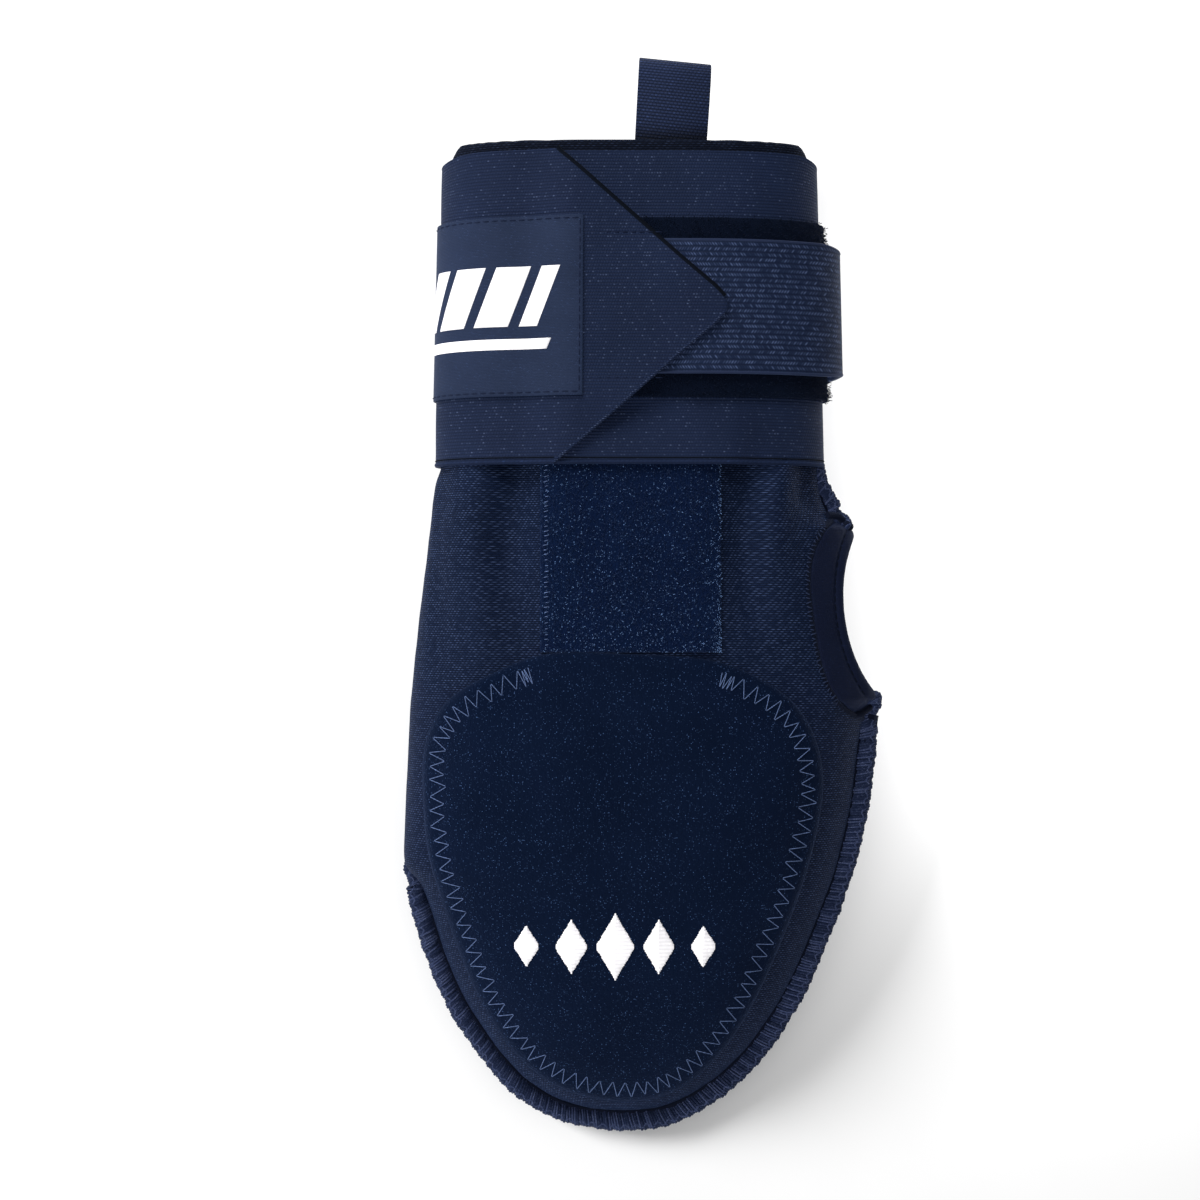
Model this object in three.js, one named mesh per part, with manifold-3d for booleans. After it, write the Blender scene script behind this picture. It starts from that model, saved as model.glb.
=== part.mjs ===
// A sliding mitt: a hollow neoprene pouch for the hand, with a thumb hole at its side, a padded front,
// and a wrist strap of wide elastic that ends in a pointed tab and a narrower closure strap.
// It lies palm down. X runs across the hand, Y from the toe to the cuff, Z up. Lengths are millimetres.
import * as THREE from "three";
import { mergeVertices } from "three/addons/utils/BufferGeometryUtils.js";
import Module from "manifold-3d";

const wasm = await Module();
wasm.setup();

// Clearances between pieces that lie on each other
const GAP = 0.3;
const DRAPED_GAP = 0.5;

// The pouch
const HAND_LENGTH = 191;
const HAND_WIDTH = 136;
const HAND_HEIGHT = 42.5;
const CUFF_WIDTH = 109.7;
const CUFF_HEIGHT = 34;
const CUFF_TAPER = 0.04;
const NEOPRENE = 3;
const RIM_REVEAL = 3.8;

// The overlocked seams
const SEAM_WIDTH = 4.6;
const SEAM_HEIGHT = 6.2;

// The thumb hole, as an oval cut in plan, and the stretch band round it
const THUMB_LENGTH = 59;
const THUMB_DEPTH = 18.6;
const THUMB_BAND_END = 1.7;
const THUMB_BAND_DEEP = 9.5;
const THUMB_BAND_THICKNESS = 1.8;
const THUMB_BAND_SUNK = 0.4;
const THUMB_TILT = 8.6;

// The wrist strap and what is sewn to it
const STRAP_WIDTH = 88.9;
const STRAP_THICKNESS = 1.5;
const TAB_LENGTH = 48.4;
const TAB_TIP = 6;
const TAPE_WIDTH = 50.8;
const TAPE_THICKNESS = 1.5;
const CLOSURE_WIDTH = 38.1;
const CLOSURE_THICKNESS = 1.6;
const CLOSURE_STAND_OFF = 2.4;
const LABEL_WIDTH = 50.8;
const LABEL_THICKNESS = 0.8;
const STRIP_WIDTH = 50.8;
const STRIP_THICKNESS = 1.5;
const STRIP_TUCK = 8;

// The pad over the knuckles and its raised motif
const PAD_LENGTH = 131;
const PAD_WIDTH = 113;
const PAD_THICKNESS = 3;
const PAD_EDGE = 1.4;
const PAD_CROWN = 0.8;
const MOTIF_SPAN = 58;
const MOTIF_HEIGHT = 18;
const MOTIF_RAISE = 0.8;

// The pull loop at the cuff
const LOOP_WIDTH = 20.6;
const LOOP_THICKNESS = 1.4;
const LOOP_LENGTH = 23.2;
const LOOP_OPENING = 4.3;
const LOOP_LEG = 15;
const LOOP_LEAN = 1.3;

// Places that follow from the sizes
const STRAP_STACK = GAP + STRAP_THICKNESS + GAP + TAPE_THICKNESS + GAP + CLOSURE_THICKNESS;
const TOE_AT = SEAM_WIDTH + GAP;
const STRAP_LOW = TOE_AT + HAND_LENGTH + DRAPED_GAP;
const STRAP_MIDDLE = STRAP_LOW + STRAP_WIDTH / 2;
const STRAP_HIGH = STRAP_LOW + STRAP_WIDTH;
const CUFF_LENGTH = DRAPED_GAP + STRAP_WIDTH + RIM_REVEAL;
const CUFF_AT = TOE_AT + HAND_LENGTH;
const CUFF_ACROSS = -0.031;
const CUFF_CENTRE = CUFF_ACROSS * CUFF_WIDTH;

// Sections of the pouch. In the hand, along is a share of HAND_LENGTH, left and right of HAND_WIDTH, and
// the heights top, edge and base are shares of HAND_HEIGHT. flatTop and flatBase are the flat shares of
// the half width, and steps is how many rows of faces lie between a section and the next.
const HAND_COLUMNS = ["along", "left", "right", "top", "edge", "base", "flatTop", "flatBase", "steps"];
const HAND_SECTIONS = [
  [0.0, -0.032, -0.032, 0.145, 0.145, 0.145, 0.1, 0.4, 2],
  [0.008, -0.132, 0.056, 0.245, 0.145, 0.06, 0.1, 0.45, 1],
  [0.026, -0.2, 0.109, 0.35, 0.15, 0.02, 0.12, 0.5, 1],
  [0.058, -0.263, 0.173, 0.455, 0.165, 0, 0.12, 0.55, 1],
  [0.105, -0.319, 0.238, 0.56, 0.18, 0, 0.14, 0.6, 1],
  [0.173, -0.382, 0.302, 0.67, 0.205, 0, 0.15, 0.62, 2],
  [0.257, -0.432, 0.358, 0.775, 0.24, 0, 0.16, 0.62, 2],
  [0.369, -0.481, 0.417, 0.87, 0.285, 0, 0.17, 0.62, 1],
  [0.39, -0.518, 0.426, 0.885, 0.295, 0, 0.17, 0.62, 1],
  [0.487, -0.511, 0.456, 0.94, 0.33, 0, 0.18, 0.62, 2],
  [0.634, -0.501, 0.482, 0.985, 0.365, 0, 0.19, 0.6, 1],
  [0.652, -0.499, 0.514, 0.99, 0.37, 0, 0.19, 0.6, 2],
  [0.77, -0.482, 0.498, 1.0, 0.4, 0, 0.2, 0.58, 2],
  [0.875, -0.463, 0.471, 0.99, 0.43, 0, 0.2, 0.56, 1],
  [0.909, -0.457, 0.456, 0.985, 0.44, 0.005, 0.2, 0.55, 1],
  [0.924, -0.454, 0.408, 0.98, 0.45, 0.02, 0.21, 0.55, 1],
  [0.953, -0.449, 0.389, 0.965, 0.475, 0.06, 0.22, 0.54, 1],
  [0.982, -0.444, 0.379, 0.945, 0.51, 0.11, 0.24, 0.52, 1],
];

// Gathers that the strap presses into the front just below it: across is a share of HAND_WIDTH from the
// middle, width and depth are shares of HAND_HEIGHT, and from is where it fades out along the hand.
const GATHER_COLUMNS = ["across", "width", "depth", "from"];
const GATHERS = [
  [-0.3, 0.15, 0.055, 0.7],
  [0.21, 0.1, 0.035, 0.78],
  [0.33, 0.1, 0.04, 0.84],
];
const GATHER_FULL = 0.9;
const GATHER_END = 0.975;

// The pad's outline as shares of its size, from the middle of its upper edge round to the left, the toe
// and back up on the right.
const PAD_OUTLINE_COLUMNS = ["across", "along"];
const PAD_OUTLINE = [
  [0.02, 0.5],
  [-0.21, 0.5],
  [-0.33, 0.455],
  [-0.42, 0.415],
  [-0.48, 0.35],
  [-0.502, 0.27],
  [-0.5, 0.18],
  [-0.49, 0.065],
  [-0.455, -0.045],
  [-0.41, -0.165],
  [-0.345, -0.295],
  [-0.258, -0.405],
  [-0.17, -0.465],
  [-0.03, -0.5],
  [0.07, -0.499],
  [0.16, -0.465],
  [0.245, -0.39],
  [0.31, -0.305],
  [0.395, -0.14],
  [0.463, 0.03],
  [0.493, 0.145],
  [0.502, 0.235],
  [0.48, 0.32],
  [0.43, 0.395],
  [0.335, 0.45],
  [0.24, 0.485],
];
const PAD_SPOKES = 52;
const PAD_RINGS = [0.22, 0.42, 0.6, 0.76, 0.88, 0.955, 1];
const PAD_ACROSS = -0.04;
const PAD_ALONG = 0.377;
const PAD_MIDDLE = [PAD_ACROSS * HAND_WIDTH, TOE_AT + PAD_ALONG * HAND_LENGTH];

// Faces across the front and the back of the pouch, which the bands round the cuff share
const FRONT_COLUMNS = 28;
const BACK_COLUMNS = 14;

const FLOSS = 1e-4;

function namedRows(columns, rows) {
  return rows.map((row) => Object.fromEntries(columns.map((name, index) => [name, row[index]])));
}

function smoothStep(from, to, value) {
  const share = THREE.MathUtils.clamp((value - from) / (to - from), 0, 1);
  return share * share * (3 - 2 * share);
}

// The sections in millimetres, the hand's followed by the two ends of the straight cuff
function cuffSection(along, share) {
  const width = CUFF_WIDTH * (1 - CUFF_TAPER * share);
  return {
    along,
    left: CUFF_CENTRE - width / 2,
    right: CUFF_CENTRE + width / 2,
    top: STRAP_STACK + CUFF_HEIGHT,
    edge: STRAP_STACK + CUFF_HEIGHT / 2,
    base: STRAP_STACK,
    flatTop: 0.25,
    flatBase: 0.5,
    steps: 1,
  };
}

const cuffLow = cuffSection(CUFF_AT, 0);
const cuffHigh = cuffSection(CUFF_AT + CUFF_LENGTH, 1);
const sections = [
  ...namedRows(HAND_COLUMNS, HAND_SECTIONS).map((row) => ({
    ...row,
    along: TOE_AT + row.along * HAND_LENGTH,
    left: row.left * HAND_WIDTH,
    right: row.right * HAND_WIDTH,
    top: row.top * HAND_HEIGHT,
    edge: row.edge * HAND_HEIGHT,
    base: row.base * HAND_HEIGHT,
  })),
  cuffLow,
  cuffHigh,
];
const SMOOTH_COLUMNS = ["along", "left", "right", "top", "edge", "base", "flatTop", "flatBase"];
const MIRRORED = { left: "right", right: "left", top: "base", base: "top" };

// Values before the first section mirror the second, which rounds the toe off
function columnValue(name, index) {
  if (index < 0) return sections[-index][MIRRORED[name] ?? name];
  return sections[Math.min(index, sections.length - 1)][name];
}

function columnSlope(name, index) {
  const before = columnValue(name, index) - columnValue(name, index - 1);
  const after = columnValue(name, index + 1) - columnValue(name, index);
  return before * after <= 0 ? 0 : (2 * before * after) / (before + after);
}

// The section at a place counted in table rows, through which each column runs smoothly
function sectionAt(place) {
  const index = THREE.MathUtils.clamp(Math.floor(place), 0, sections.length - 2);
  const t = place - index;
  const section = {};
  for (const name of SMOOTH_COLUMNS) {
    const start = columnValue(name, index);
    const rise = columnValue(name, index + 1) - start;
    const leave = columnSlope(name, index);
    const arrive = columnSlope(name, index + 1);
    const bend = 3 * rise - 2 * leave - arrive;
    section[name] = start + t * (leave + t * (bend + t * (leave + arrive - 2 * rise)));
  }
  return section;
}

function placeOf(along) {
  let low = 0;
  let high = sections.length - 1;
  for (let turn = 0; turn < 40; turn += 1) {
    const middle = (low + high) / 2;
    if (sectionAt(middle).along < along) low = middle;
    else high = middle;
  }
  return (low + high) / 2;
}

// The section of a pouch that lies a wall further in, with the wall measured square to its slope
function insetSection(place, wall) {
  const section = sectionAt(place);
  const step = 0.02;
  const next = sectionAt(Math.min(place + step, sections.length - 1));
  const last = sectionAt(Math.max(place - step, 0));
  const run = next.along - last.along;
  const wallOn = (name) => wall * Math.hypot(1, (next[name] - last[name]) / run);
  return {
    ...section,
    left: section.left + wallOn("left"),
    right: section.right - wallOn("right"),
    top: section.top - wallOn("top"),
    base: section.base + wallOn("base"),
  };
}

function profile(share, flat, squareness) {
  const bent = Math.max(0, (share - flat) / (1 - flat));
  return (1 - bent ** squareness) ** (1 / squareness);
}

const TOP_SQUARENESS = 2.3;
const BASE_SQUARENESS = 2;
const gathers = namedRows(GATHER_COLUMNS, GATHERS);

function gatherDepth(x, along) {
  const share = (along - TOE_AT) / HAND_LENGTH;
  const ending = 1 - smoothStep(GATHER_FULL, GATHER_END, share);
  return gathers.reduce((sum, gather) => {
    const aside = (x - gather.across * HAND_WIDTH) / (gather.width * HAND_HEIGHT);
    const fading = smoothStep(gather.from, GATHER_FULL, share);
    return sum + gather.depth * HAND_HEIGHT * Math.exp(-aside * aside) * fading * ending;
  }, 0);
}

// A point of a section: across runs from -1 at the left edge to 1 at the right
function sectionPoint(section, across, front) {
  const share = Math.sin((across * Math.PI) / 2);
  const half = (section.right - section.left) / 2;
  const x = (section.right + section.left) / 2 + half * share;
  const size = Math.abs(share);
  if (front) {
    const rise = (section.top - section.edge) * profile(size, section.flatTop, TOP_SQUARENESS);
    const dip = gatherDepth(x, section.along) * profile(size, 0, 2);
    return new THREE.Vector3(x, section.along, section.edge + rise - dip);
  }
  const fall = (section.edge - section.base) * profile(size, section.flatBase, BASE_SQUARENESS);
  return new THREE.Vector3(x, section.along, section.edge - fall);
}

// One closed ring of points round a section, the front from left to right and the back from right to left
function sectionRing(section) {
  const ring = [];
  for (let column = 0; column < FRONT_COLUMNS; column += 1) {
    ring.push(sectionPoint(section, (2 * column) / FRONT_COLUMNS - 1, true));
  }
  for (let column = 0; column < BACK_COLUMNS; column += 1) {
    ring.push(sectionPoint(section, 1 - (2 * column) / BACK_COLUMNS, false));
  }
  return ring;
}

// The point of the front that lies over a place in plan, and the direction square to the front there
function frontHeight(x, along) {
  const section = sectionAt(placeOf(along));
  const half = (section.right - section.left) / 2;
  const share = THREE.MathUtils.clamp((x - (section.right + section.left) / 2) / half, -1, 1);
  return sectionPoint(section, (2 / Math.PI) * Math.asin(share), true).z;
}

function onFront(x, along, offset) {
  const step = 0.4;
  const slopeX = (frontHeight(x + step, along) - frontHeight(x - step, along)) / (2 * step);
  const slopeY = (frontHeight(x, along + step) - frontHeight(x, along - step)) / (2 * step);
  const normal = new THREE.Vector3(-slopeX, -slopeY, 1).normalize();
  return new THREE.Vector3(x, along, frontHeight(x, along)).addScaledVector(normal, offset);
}

// A point over the cuff: around runs 0 to 1 over the front from left to right, and 1 to 2 over the back
function cuffSkin(around, along) {
  const share = (along - cuffLow.along) / (cuffHigh.along - cuffLow.along);
  const section = { ...cuffLow, along };
  for (const name of ["left", "right"]) {
    section[name] = THREE.MathUtils.lerp(cuffLow[name], cuffHigh[name], share);
  }
  const turn = THREE.MathUtils.euclideanModulo(around, 2);
  if (turn <= 1) return sectionPoint(section, 2 * turn - 1, true);
  return sectionPoint(section, 3 - 2 * turn, false);
}

function overCuff(around, along, offset) {
  const step = 0.004;
  const tangent = cuffSkin(around + step, along).sub(cuffSkin(around - step, along));
  const normal = new THREE.Vector3(-tangent.z, 0, tangent.x).normalize();
  return cuffSkin(around, along).addScaledVector(normal, offset);
}

function aroundOf(x) {
  const share = (x - CUFF_CENTRE) / (CUFF_WIDTH / 2);
  return 0.5 + Math.asin(share) / Math.PI;
}

// The places round the cuff between two ends, at every column of the pouch
function stationsAround(from, to) {
  const places = [from];
  for (let turn = 0; turn < 2; turn += 1) {
    for (let column = 0; column < FRONT_COLUMNS; column += 1) {
      places.push(2 * turn + column / FRONT_COLUMNS);
    }
    for (let column = 0; column < BACK_COLUMNS; column += 1) {
      places.push(2 * turn + 1 + column / BACK_COLUMNS);
    }
  }
  const apart = 0.008;
  const between = places.filter((place) => place > from + apart && place < to - apart);
  return [from, ...between, to];
}

// Solids from rings of points: each ring joins the next, and both ends are closed
function loft(rings, closeEnd) {
  const count = rings[0].length;
  const points = rings.flat();
  const faces = [];
  for (let ring = 0; ring + 1 < rings.length; ring += 1) {
    for (let index = 0; index < count; index += 1) {
      const next = (index + 1) % count;
      const [a, b] = [ring * count + index, ring * count + next];
      faces.push(a, b, b + count, a, b + count, a + count);
    }
  }
  closeEnd(points, faces, 0, count, false);
  closeEnd(points, faces, (rings.length - 1) * count, count, true);
  return solidGeometry(points, faces);
}

function closeWithFan(points, faces, first, count, last) {
  const middle = new THREE.Vector3();
  for (let index = 0; index < count; index += 1) middle.add(points[first + index]);
  points.push(middle.divideScalar(count));
  for (let index = 0; index < count; index += 1) {
    const next = (index + 1) % count;
    const [a, b] = last ? [index, next] : [next, index];
    faces.push(first + a, first + b, points.length - 1);
  }
}

// A flat strip's ring runs up one side and down the other, so its end is closed from side to side
function closeStrip(points, faces, first, count, last) {
  for (let index = 0; index + 1 < count / 2; index += 1) {
    const across = count - 1 - index;
    const quad = [index, index + 1, across - 1, index, across - 1, across].map((at) => first + at);
    faces.push(...(last ? quad : quad.reverse()));
  }
}

function solidGeometry(points, faces) {
  let volume = 0;
  for (let index = 0; index < faces.length; index += 3) {
    const [a, b, c] = [0, 1, 2].map((corner) => points[faces[index + corner]]);
    volume += a.dot(new THREE.Vector3().crossVectors(b, c));
  }
  const geometry = new THREE.BufferGeometry();
  const flat = points.flatMap((point) => point.toArray());
  geometry.setAttribute("position", new THREE.Float32BufferAttribute(flat, 3));
  geometry.setIndex(volume < 0 ? [...faces].reverse() : faces);
  return geometry;
}

// A cut or a join needs a solid of the other library and gives a geometry back
function asManifold(geometry) {
  const bare = geometry.clone();
  bare.deleteAttribute("normal");
  bare.deleteAttribute("uv");
  const merged = mergeVertices(bare, FLOSS);
  const mesh = new wasm.Mesh({
    numProp: 3,
    vertProperties: merged.attributes.position.array,
    triVerts: new Uint32Array(merged.index.array),
  });
  return new wasm.Manifold(mesh);
}

function asGeometry(manifold) {
  const mesh = manifold.getMesh();
  const geometry = new THREE.BufferGeometry();
  geometry.setAttribute("position", new THREE.BufferAttribute(mesh.vertProperties, 3));
  geometry.setIndex(new THREE.BufferAttribute(mesh.triVerts, 1));
  return geometry;
}

// The filled form of the pouch between two places, some depth inside its skin
function filledPouch(places, wall, mouthRun) {
  const rings = places.map((place) => sectionRing(wall ? insetSection(place, wall) : sectionAt(place)));
  if (mouthRun) rings.push(rings.at(-1).map((point) => point.clone().setY(point.y + mouthRun)));
  return asManifold(loft(rings, closeWithFan));
}

// The toe is cut off where its section is wide enough for a ring, and the hollow starts further in
const TOE_PLACE = 0.22;
const POCKET_FROM = 0.04;

function rowPlaces() {
  const places = [];
  sections.slice(0, -1).forEach((section, index) => {
    for (let step = 0; step < section.steps; step += 1) places.push(index + step / section.steps);
  });
  places[0] = TOE_PLACE;
  return [...places, sections.length - 1];
}

// Cutters for the thumb hole: an upright prism on an oval
const THUMB_ACROSS = 0.564;
const THUMB_ALONG = 0.785;
const thumbCentre = new THREE.Vector2(THUMB_ACROSS * HAND_WIDTH, TOE_AT + THUMB_ALONG * HAND_LENGTH);
const THUMB_SIDES = 44;

function thumbPrism(halfLength, halfDepth, squareness) {
  const tilt = THREE.MathUtils.degToRad(THUMB_TILT);
  const outline = [];
  for (let side = 0; side < THUMB_SIDES; side += 1) {
    const angle = (2 * Math.PI * side) / THUMB_SIDES;
    const [c, s] = [Math.cos(angle), Math.sin(angle)];
    const size = (Math.abs(c) ** squareness + Math.abs(s) ** squareness) ** (-1 / squareness);
    const point = new THREE.Vector2(halfDepth * c * size, halfLength * s * size);
    outline.push(point.rotateAround(new THREE.Vector2(), tilt).add(thumbCentre));
  }
  const height = 3 * HAND_HEIGHT;
  const prism = new THREE.ExtrudeGeometry(new THREE.Shape(outline), { depth: height, bevelEnabled: false });
  return asManifold(prism.translate(0, 0, -HAND_HEIGHT));
}

const BAND_SQUARENESS = 3;
const holePrism = thumbPrism(THUMB_LENGTH / 2, THUMB_DEPTH, 2);
const bandHalfLength = THUMB_LENGTH / 2 + THUMB_BAND_END;
const bandDepth = THUMB_DEPTH + THUMB_BAND_DEEP;
const panelPrism = thumbPrism(bandHalfLength, bandDepth, BAND_SQUARENESS);
const bandPrism = thumbPrism(bandHalfLength - GAP, bandDepth - GAP, BAND_SQUARENESS);

function neopreneShell() {
  const places = rowPlaces();
  const outer = filledPouch(places, 0, 0);
  const innerFrom = placeOf(TOE_AT + POCKET_FROM * HAND_LENGTH);
  const innerPlaces = [innerFrom, ...places.filter((place) => place > innerFrom + 0.5)];
  const inner = filledPouch(innerPlaces, NEOPRENE, NEOPRENE);
  return asGeometry(outer.subtract(inner).subtract(panelPrism));
}

function thumbBinding() {
  const low = placeOf(thumbCentre.y - THUMB_LENGTH);
  const high = placeOf(CUFF_AT - DRAPED_GAP);
  const places = [low, ...rowPlaces().filter((place) => place > low && place < high), high];
  const outer = filledPouch(places, THUMB_BAND_SUNK, 0);
  const inner = filledPouch(places, THUMB_BAND_SUNK + THUMB_BAND_THICKNESS, 0);
  return asGeometry(outer.subtract(inner).intersect(bandPrism).subtract(holePrism));
}

// The pouch's edge in plan: negative places run down the left side, positive ones up the right
function edgePoint(place) {
  const section = sectionAt(Math.abs(place));
  const x = place < 0 ? section.left : section.right;
  return new THREE.Vector3(x, section.along, section.edge);
}

const SEAM_SIDES = 8;

function seamRidge(from, to, count) {
  const step = 0.03;
  const rings = [];
  for (let index = 0; index <= count; index += 1) {
    const place = THREE.MathUtils.lerp(from, to, index / count);
    const tangent = edgePoint(place + step).sub(edgePoint(place - step)).setZ(0).normalize();
    const outward = new THREE.Vector3(tangent.y, -tangent.x, 0);
    const middle = edgePoint(place).addScaledVector(outward, GAP + SEAM_WIDTH / 2);
    const ring = [];
    for (let side = 0; side < SEAM_SIDES; side += 1) {
      const angle = (2 * Math.PI * (side + 0.5)) / SEAM_SIDES;
      const reach = (SEAM_WIDTH / 2 / Math.cos(Math.PI / SEAM_SIDES)) * Math.cos(angle);
      const point = middle.clone().addScaledVector(outward, reach);
      point.z += (SEAM_HEIGHT / 2) * Math.sin(angle);
      ring.push(point);
    }
    rings.push(ring);
  }
  return loft(rings, closeWithFan);
}

// The spiral of the wrist strap: it starts under the tab, goes round once and ends on the front in a
// point. Its offset from the pouch grows where it runs over its own start and over the closure strap.
// Starts and ends are places round the cuff. The label's edge and the tab's point are shares of
// CUFF_WIDTH from its middle.
const STRAP_START = 0.3;
const TAPE_START = 0.42;
const TAPE_END = 1.8;
const CLOSURE_START = 0.43;
const CLOSURE_END = 1.7;
const LABEL_START = 1.84;
const LABEL_EDGE = -0.153;
const TAB_POINT = 0.246;
const tabTip = CUFF_CENTRE + TAB_POINT * CUFF_WIDTH;
const tabShoulder = tabTip - TAB_LENGTH;
const layer = GAP + STRAP_THICKNESS;
const overTape = layer + GAP + TAPE_THICKNESS;
const overClosure = overTape + GAP + CLOSURE_THICKNESS;
const stripMiddle = -0.025 * HAND_WIDTH;
const stripLift = DRAPED_GAP + STRIP_THICKNESS;

// How far the strap's lower edge rides up over the loop strip that is tucked under it
const TUCK_FULL = 2;
const TUCK_GONE = 12;

function tuckLift(around, along) {
  const x = cuffSkin(around, along).x;
  const turn = THREE.MathUtils.euclideanModulo(around, 2);
  if (turn > 1) return 0;
  const aside = Math.abs(x - stripMiddle) - STRIP_WIDTH / 2;
  const beside = 1 - smoothStep(TUCK_FULL, TUCK_GONE, aside);
  const above = 1 - THREE.MathUtils.clamp((along - STRAP_LOW - STRIP_TUCK - 1) / STRIP_TUCK, 0, 1);
  return stripLift * beside * above;
}

// On its second turn the strap is clear of its own start, and of the tape's, a little before it is over them
const LAP_FROM = 2.06;
const LAP_EARLY = 0.02;
const CLIMB_EARLY = 0.01;

function strapOffset(around, along) {
  if (around <= 2) return GAP + tuckLift(around, along);
  const lap = smoothStep(LAP_FROM, 2 + STRAP_START - LAP_EARLY, around);
  const climb = smoothStep(2 + STRAP_START, 2 + TAPE_START - CLIMB_EARLY, around);
  const aside = Math.abs(along - STRAP_MIDDLE);
  const tapeEdge = TAPE_WIDTH / 2 + TUCK_FULL;
  const edge = THREE.MathUtils.clamp((aside - tapeEdge) / (STRAP_WIDTH / 2 - tapeEdge), 0, 1);
  const full = THREE.MathUtils.lerp(overClosure + GAP, overTape + GAP, edge);
  return THREE.MathUtils.lerp(THREE.MathUtils.lerp(GAP, layer + GAP, lap), full, climb);
}

// A band over the cuff: stations round it, shares of its width across, and its distance from the pouch
function bandSolid({ stations, shares, span, offset, thickness }) {
  const rings = stations.map((around) => {
    const [low, high] = span(around);
    const rows = shares.map((share) => THREE.MathUtils.lerp(low, high, share));
    const under = rows.map((along) => overCuff(around, along, offset(around, along)));
    const over = rows.map((along) => overCuff(around, along, offset(around, along) + thickness));
    return [...under, ...over.reverse()];
  });
  return loft(rings, closeStrip);
}

function plainSpan(width) {
  return () => [STRAP_MIDDLE - width / 2, STRAP_MIDDLE + width / 2];
}

function wristStrap() {
  const shoulder = 2 + aroundOf(tabShoulder);
  const tip = 2 + aroundOf(tabTip);
  const span = (around) => {
    if (around <= shoulder) return [STRAP_LOW, STRAP_HIGH];
    const x = cuffSkin(around, STRAP_MIDDLE).x;
    const share = (x - tabShoulder) / TAB_LENGTH;
    const half = THREE.MathUtils.lerp(STRAP_WIDTH, TAB_TIP, THREE.MathUtils.clamp(share, 0, 1)) / 2;
    return [STRAP_MIDDLE - half, STRAP_MIDDLE + half];
  };
  const tuckShare = (STRIP_TUCK + 1) / STRAP_WIDTH;
  const shares = [0, tuckShare, tuckShare + STRIP_TUCK / STRAP_WIDTH, 0.5, 0.8, 1];
  const before = stationsAround(STRAP_START, shoulder);
  const after = stationsAround(shoulder, tip).slice(1);
  const stations = [...before, ...after];
  return bandSolid({ stations, shares, span, offset: strapOffset, thickness: STRAP_THICKNESS });
}

function strapLoopTape() {
  return bandSolid({
    stations: stationsAround(TAPE_START, TAPE_END),
    shares: [0, 1],
    span: plainSpan(TAPE_WIDTH),
    offset: () => layer + GAP,
    thickness: TAPE_THICKNESS,
  });
}

// The closure strap stands off where it bends round the right side
const STAND_OFF_REACH = 0.22;

function closureOffset(around) {
  const share = THREE.MathUtils.clamp(Math.abs(around - 1) / STAND_OFF_REACH, 0, 1);
  return overTape + GAP + CLOSURE_STAND_OFF * Math.cos((share * Math.PI) / 2) ** 2;
}

function closureStrap() {
  return bandSolid({
    stations: stationsAround(CLOSURE_START, CLOSURE_END),
    shares: [0, 0.5, 1],
    span: plainSpan(CLOSURE_WIDTH),
    offset: closureOffset,
    thickness: CLOSURE_THICKNESS,
  });
}

function labelPatch() {
  const labelEnd = 2 + aroundOf(LABEL_EDGE * CUFF_WIDTH);
  return bandSolid({
    stations: stationsAround(LABEL_START, labelEnd),
    shares: [0, 0.5, 1],
    span: plainSpan(LABEL_WIDTH),
    offset: (around, along) => strapOffset(around, along) + STRAP_THICKNESS + GAP,
    thickness: LABEL_THICKNESS,
  });
}

// The loop strip runs down the front from under the strap to the pad
function loopStrip() {
  const low = PAD_MIDDLE[1] + PAD_LENGTH / 2 + DRAPED_GAP + PAD_EDGE;
  const high = STRAP_LOW + STRIP_TUCK;
  const rows = 9;
  const columns = 8;
  const rings = [];
  for (let row = 0; row <= rows; row += 1) {
    const along = THREE.MathUtils.lerp(low, high, row / rows);
    const under = [];
    const over = [];
    for (let column = 0; column <= columns; column += 1) {
      const x = stripMiddle + STRIP_WIDTH * (column / columns - 0.5);
      under.push(onFront(x, along, DRAPED_GAP));
      over.push(onFront(x, along, DRAPED_GAP + STRIP_THICKNESS));
    }
    rings.push([...under, ...over.reverse()]);
  }
  return loft(rings, closeStrip);
}

// The pad's outer surface over a place in plan, given as a share of the way from its middle to its edge
function padOffset(share) {
  const edge = smoothStep(1, 0.9, share);
  const crown = PAD_CROWN * (1 - share * share);
  return DRAPED_GAP + THREE.MathUtils.lerp(PAD_EDGE, PAD_THICKNESS, edge) + crown;
}

function padEdge() {
  const points = namedRows(PAD_OUTLINE_COLUMNS, PAD_OUTLINE).map((row) => {
    const x = PAD_MIDDLE[0] + row.across * PAD_WIDTH;
    return new THREE.Vector3(x, PAD_MIDDLE[1] + row.along * PAD_LENGTH, 0);
  });
  return new THREE.CatmullRomCurve3(points, true).getSpacedPoints(PAD_SPOKES).slice(0, -1);
}

function knucklePad() {
  const edge = padEdge();
  const middle = new THREE.Vector3(...PAD_MIDDLE, 0);
  const ringAt = (share, offset) =>
    edge.map((point) => {
      const place = middle.clone().lerp(point, share);
      return onFront(place.x, place.y, offset);
    });
  const under = PAD_RINGS.map((share) => ringAt(share, DRAPED_GAP));
  const over = PAD_RINGS.map((share) => ringAt(share, padOffset(share)));
  return loft([...under, ...over.reverse()], closeWithFan);
}

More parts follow.
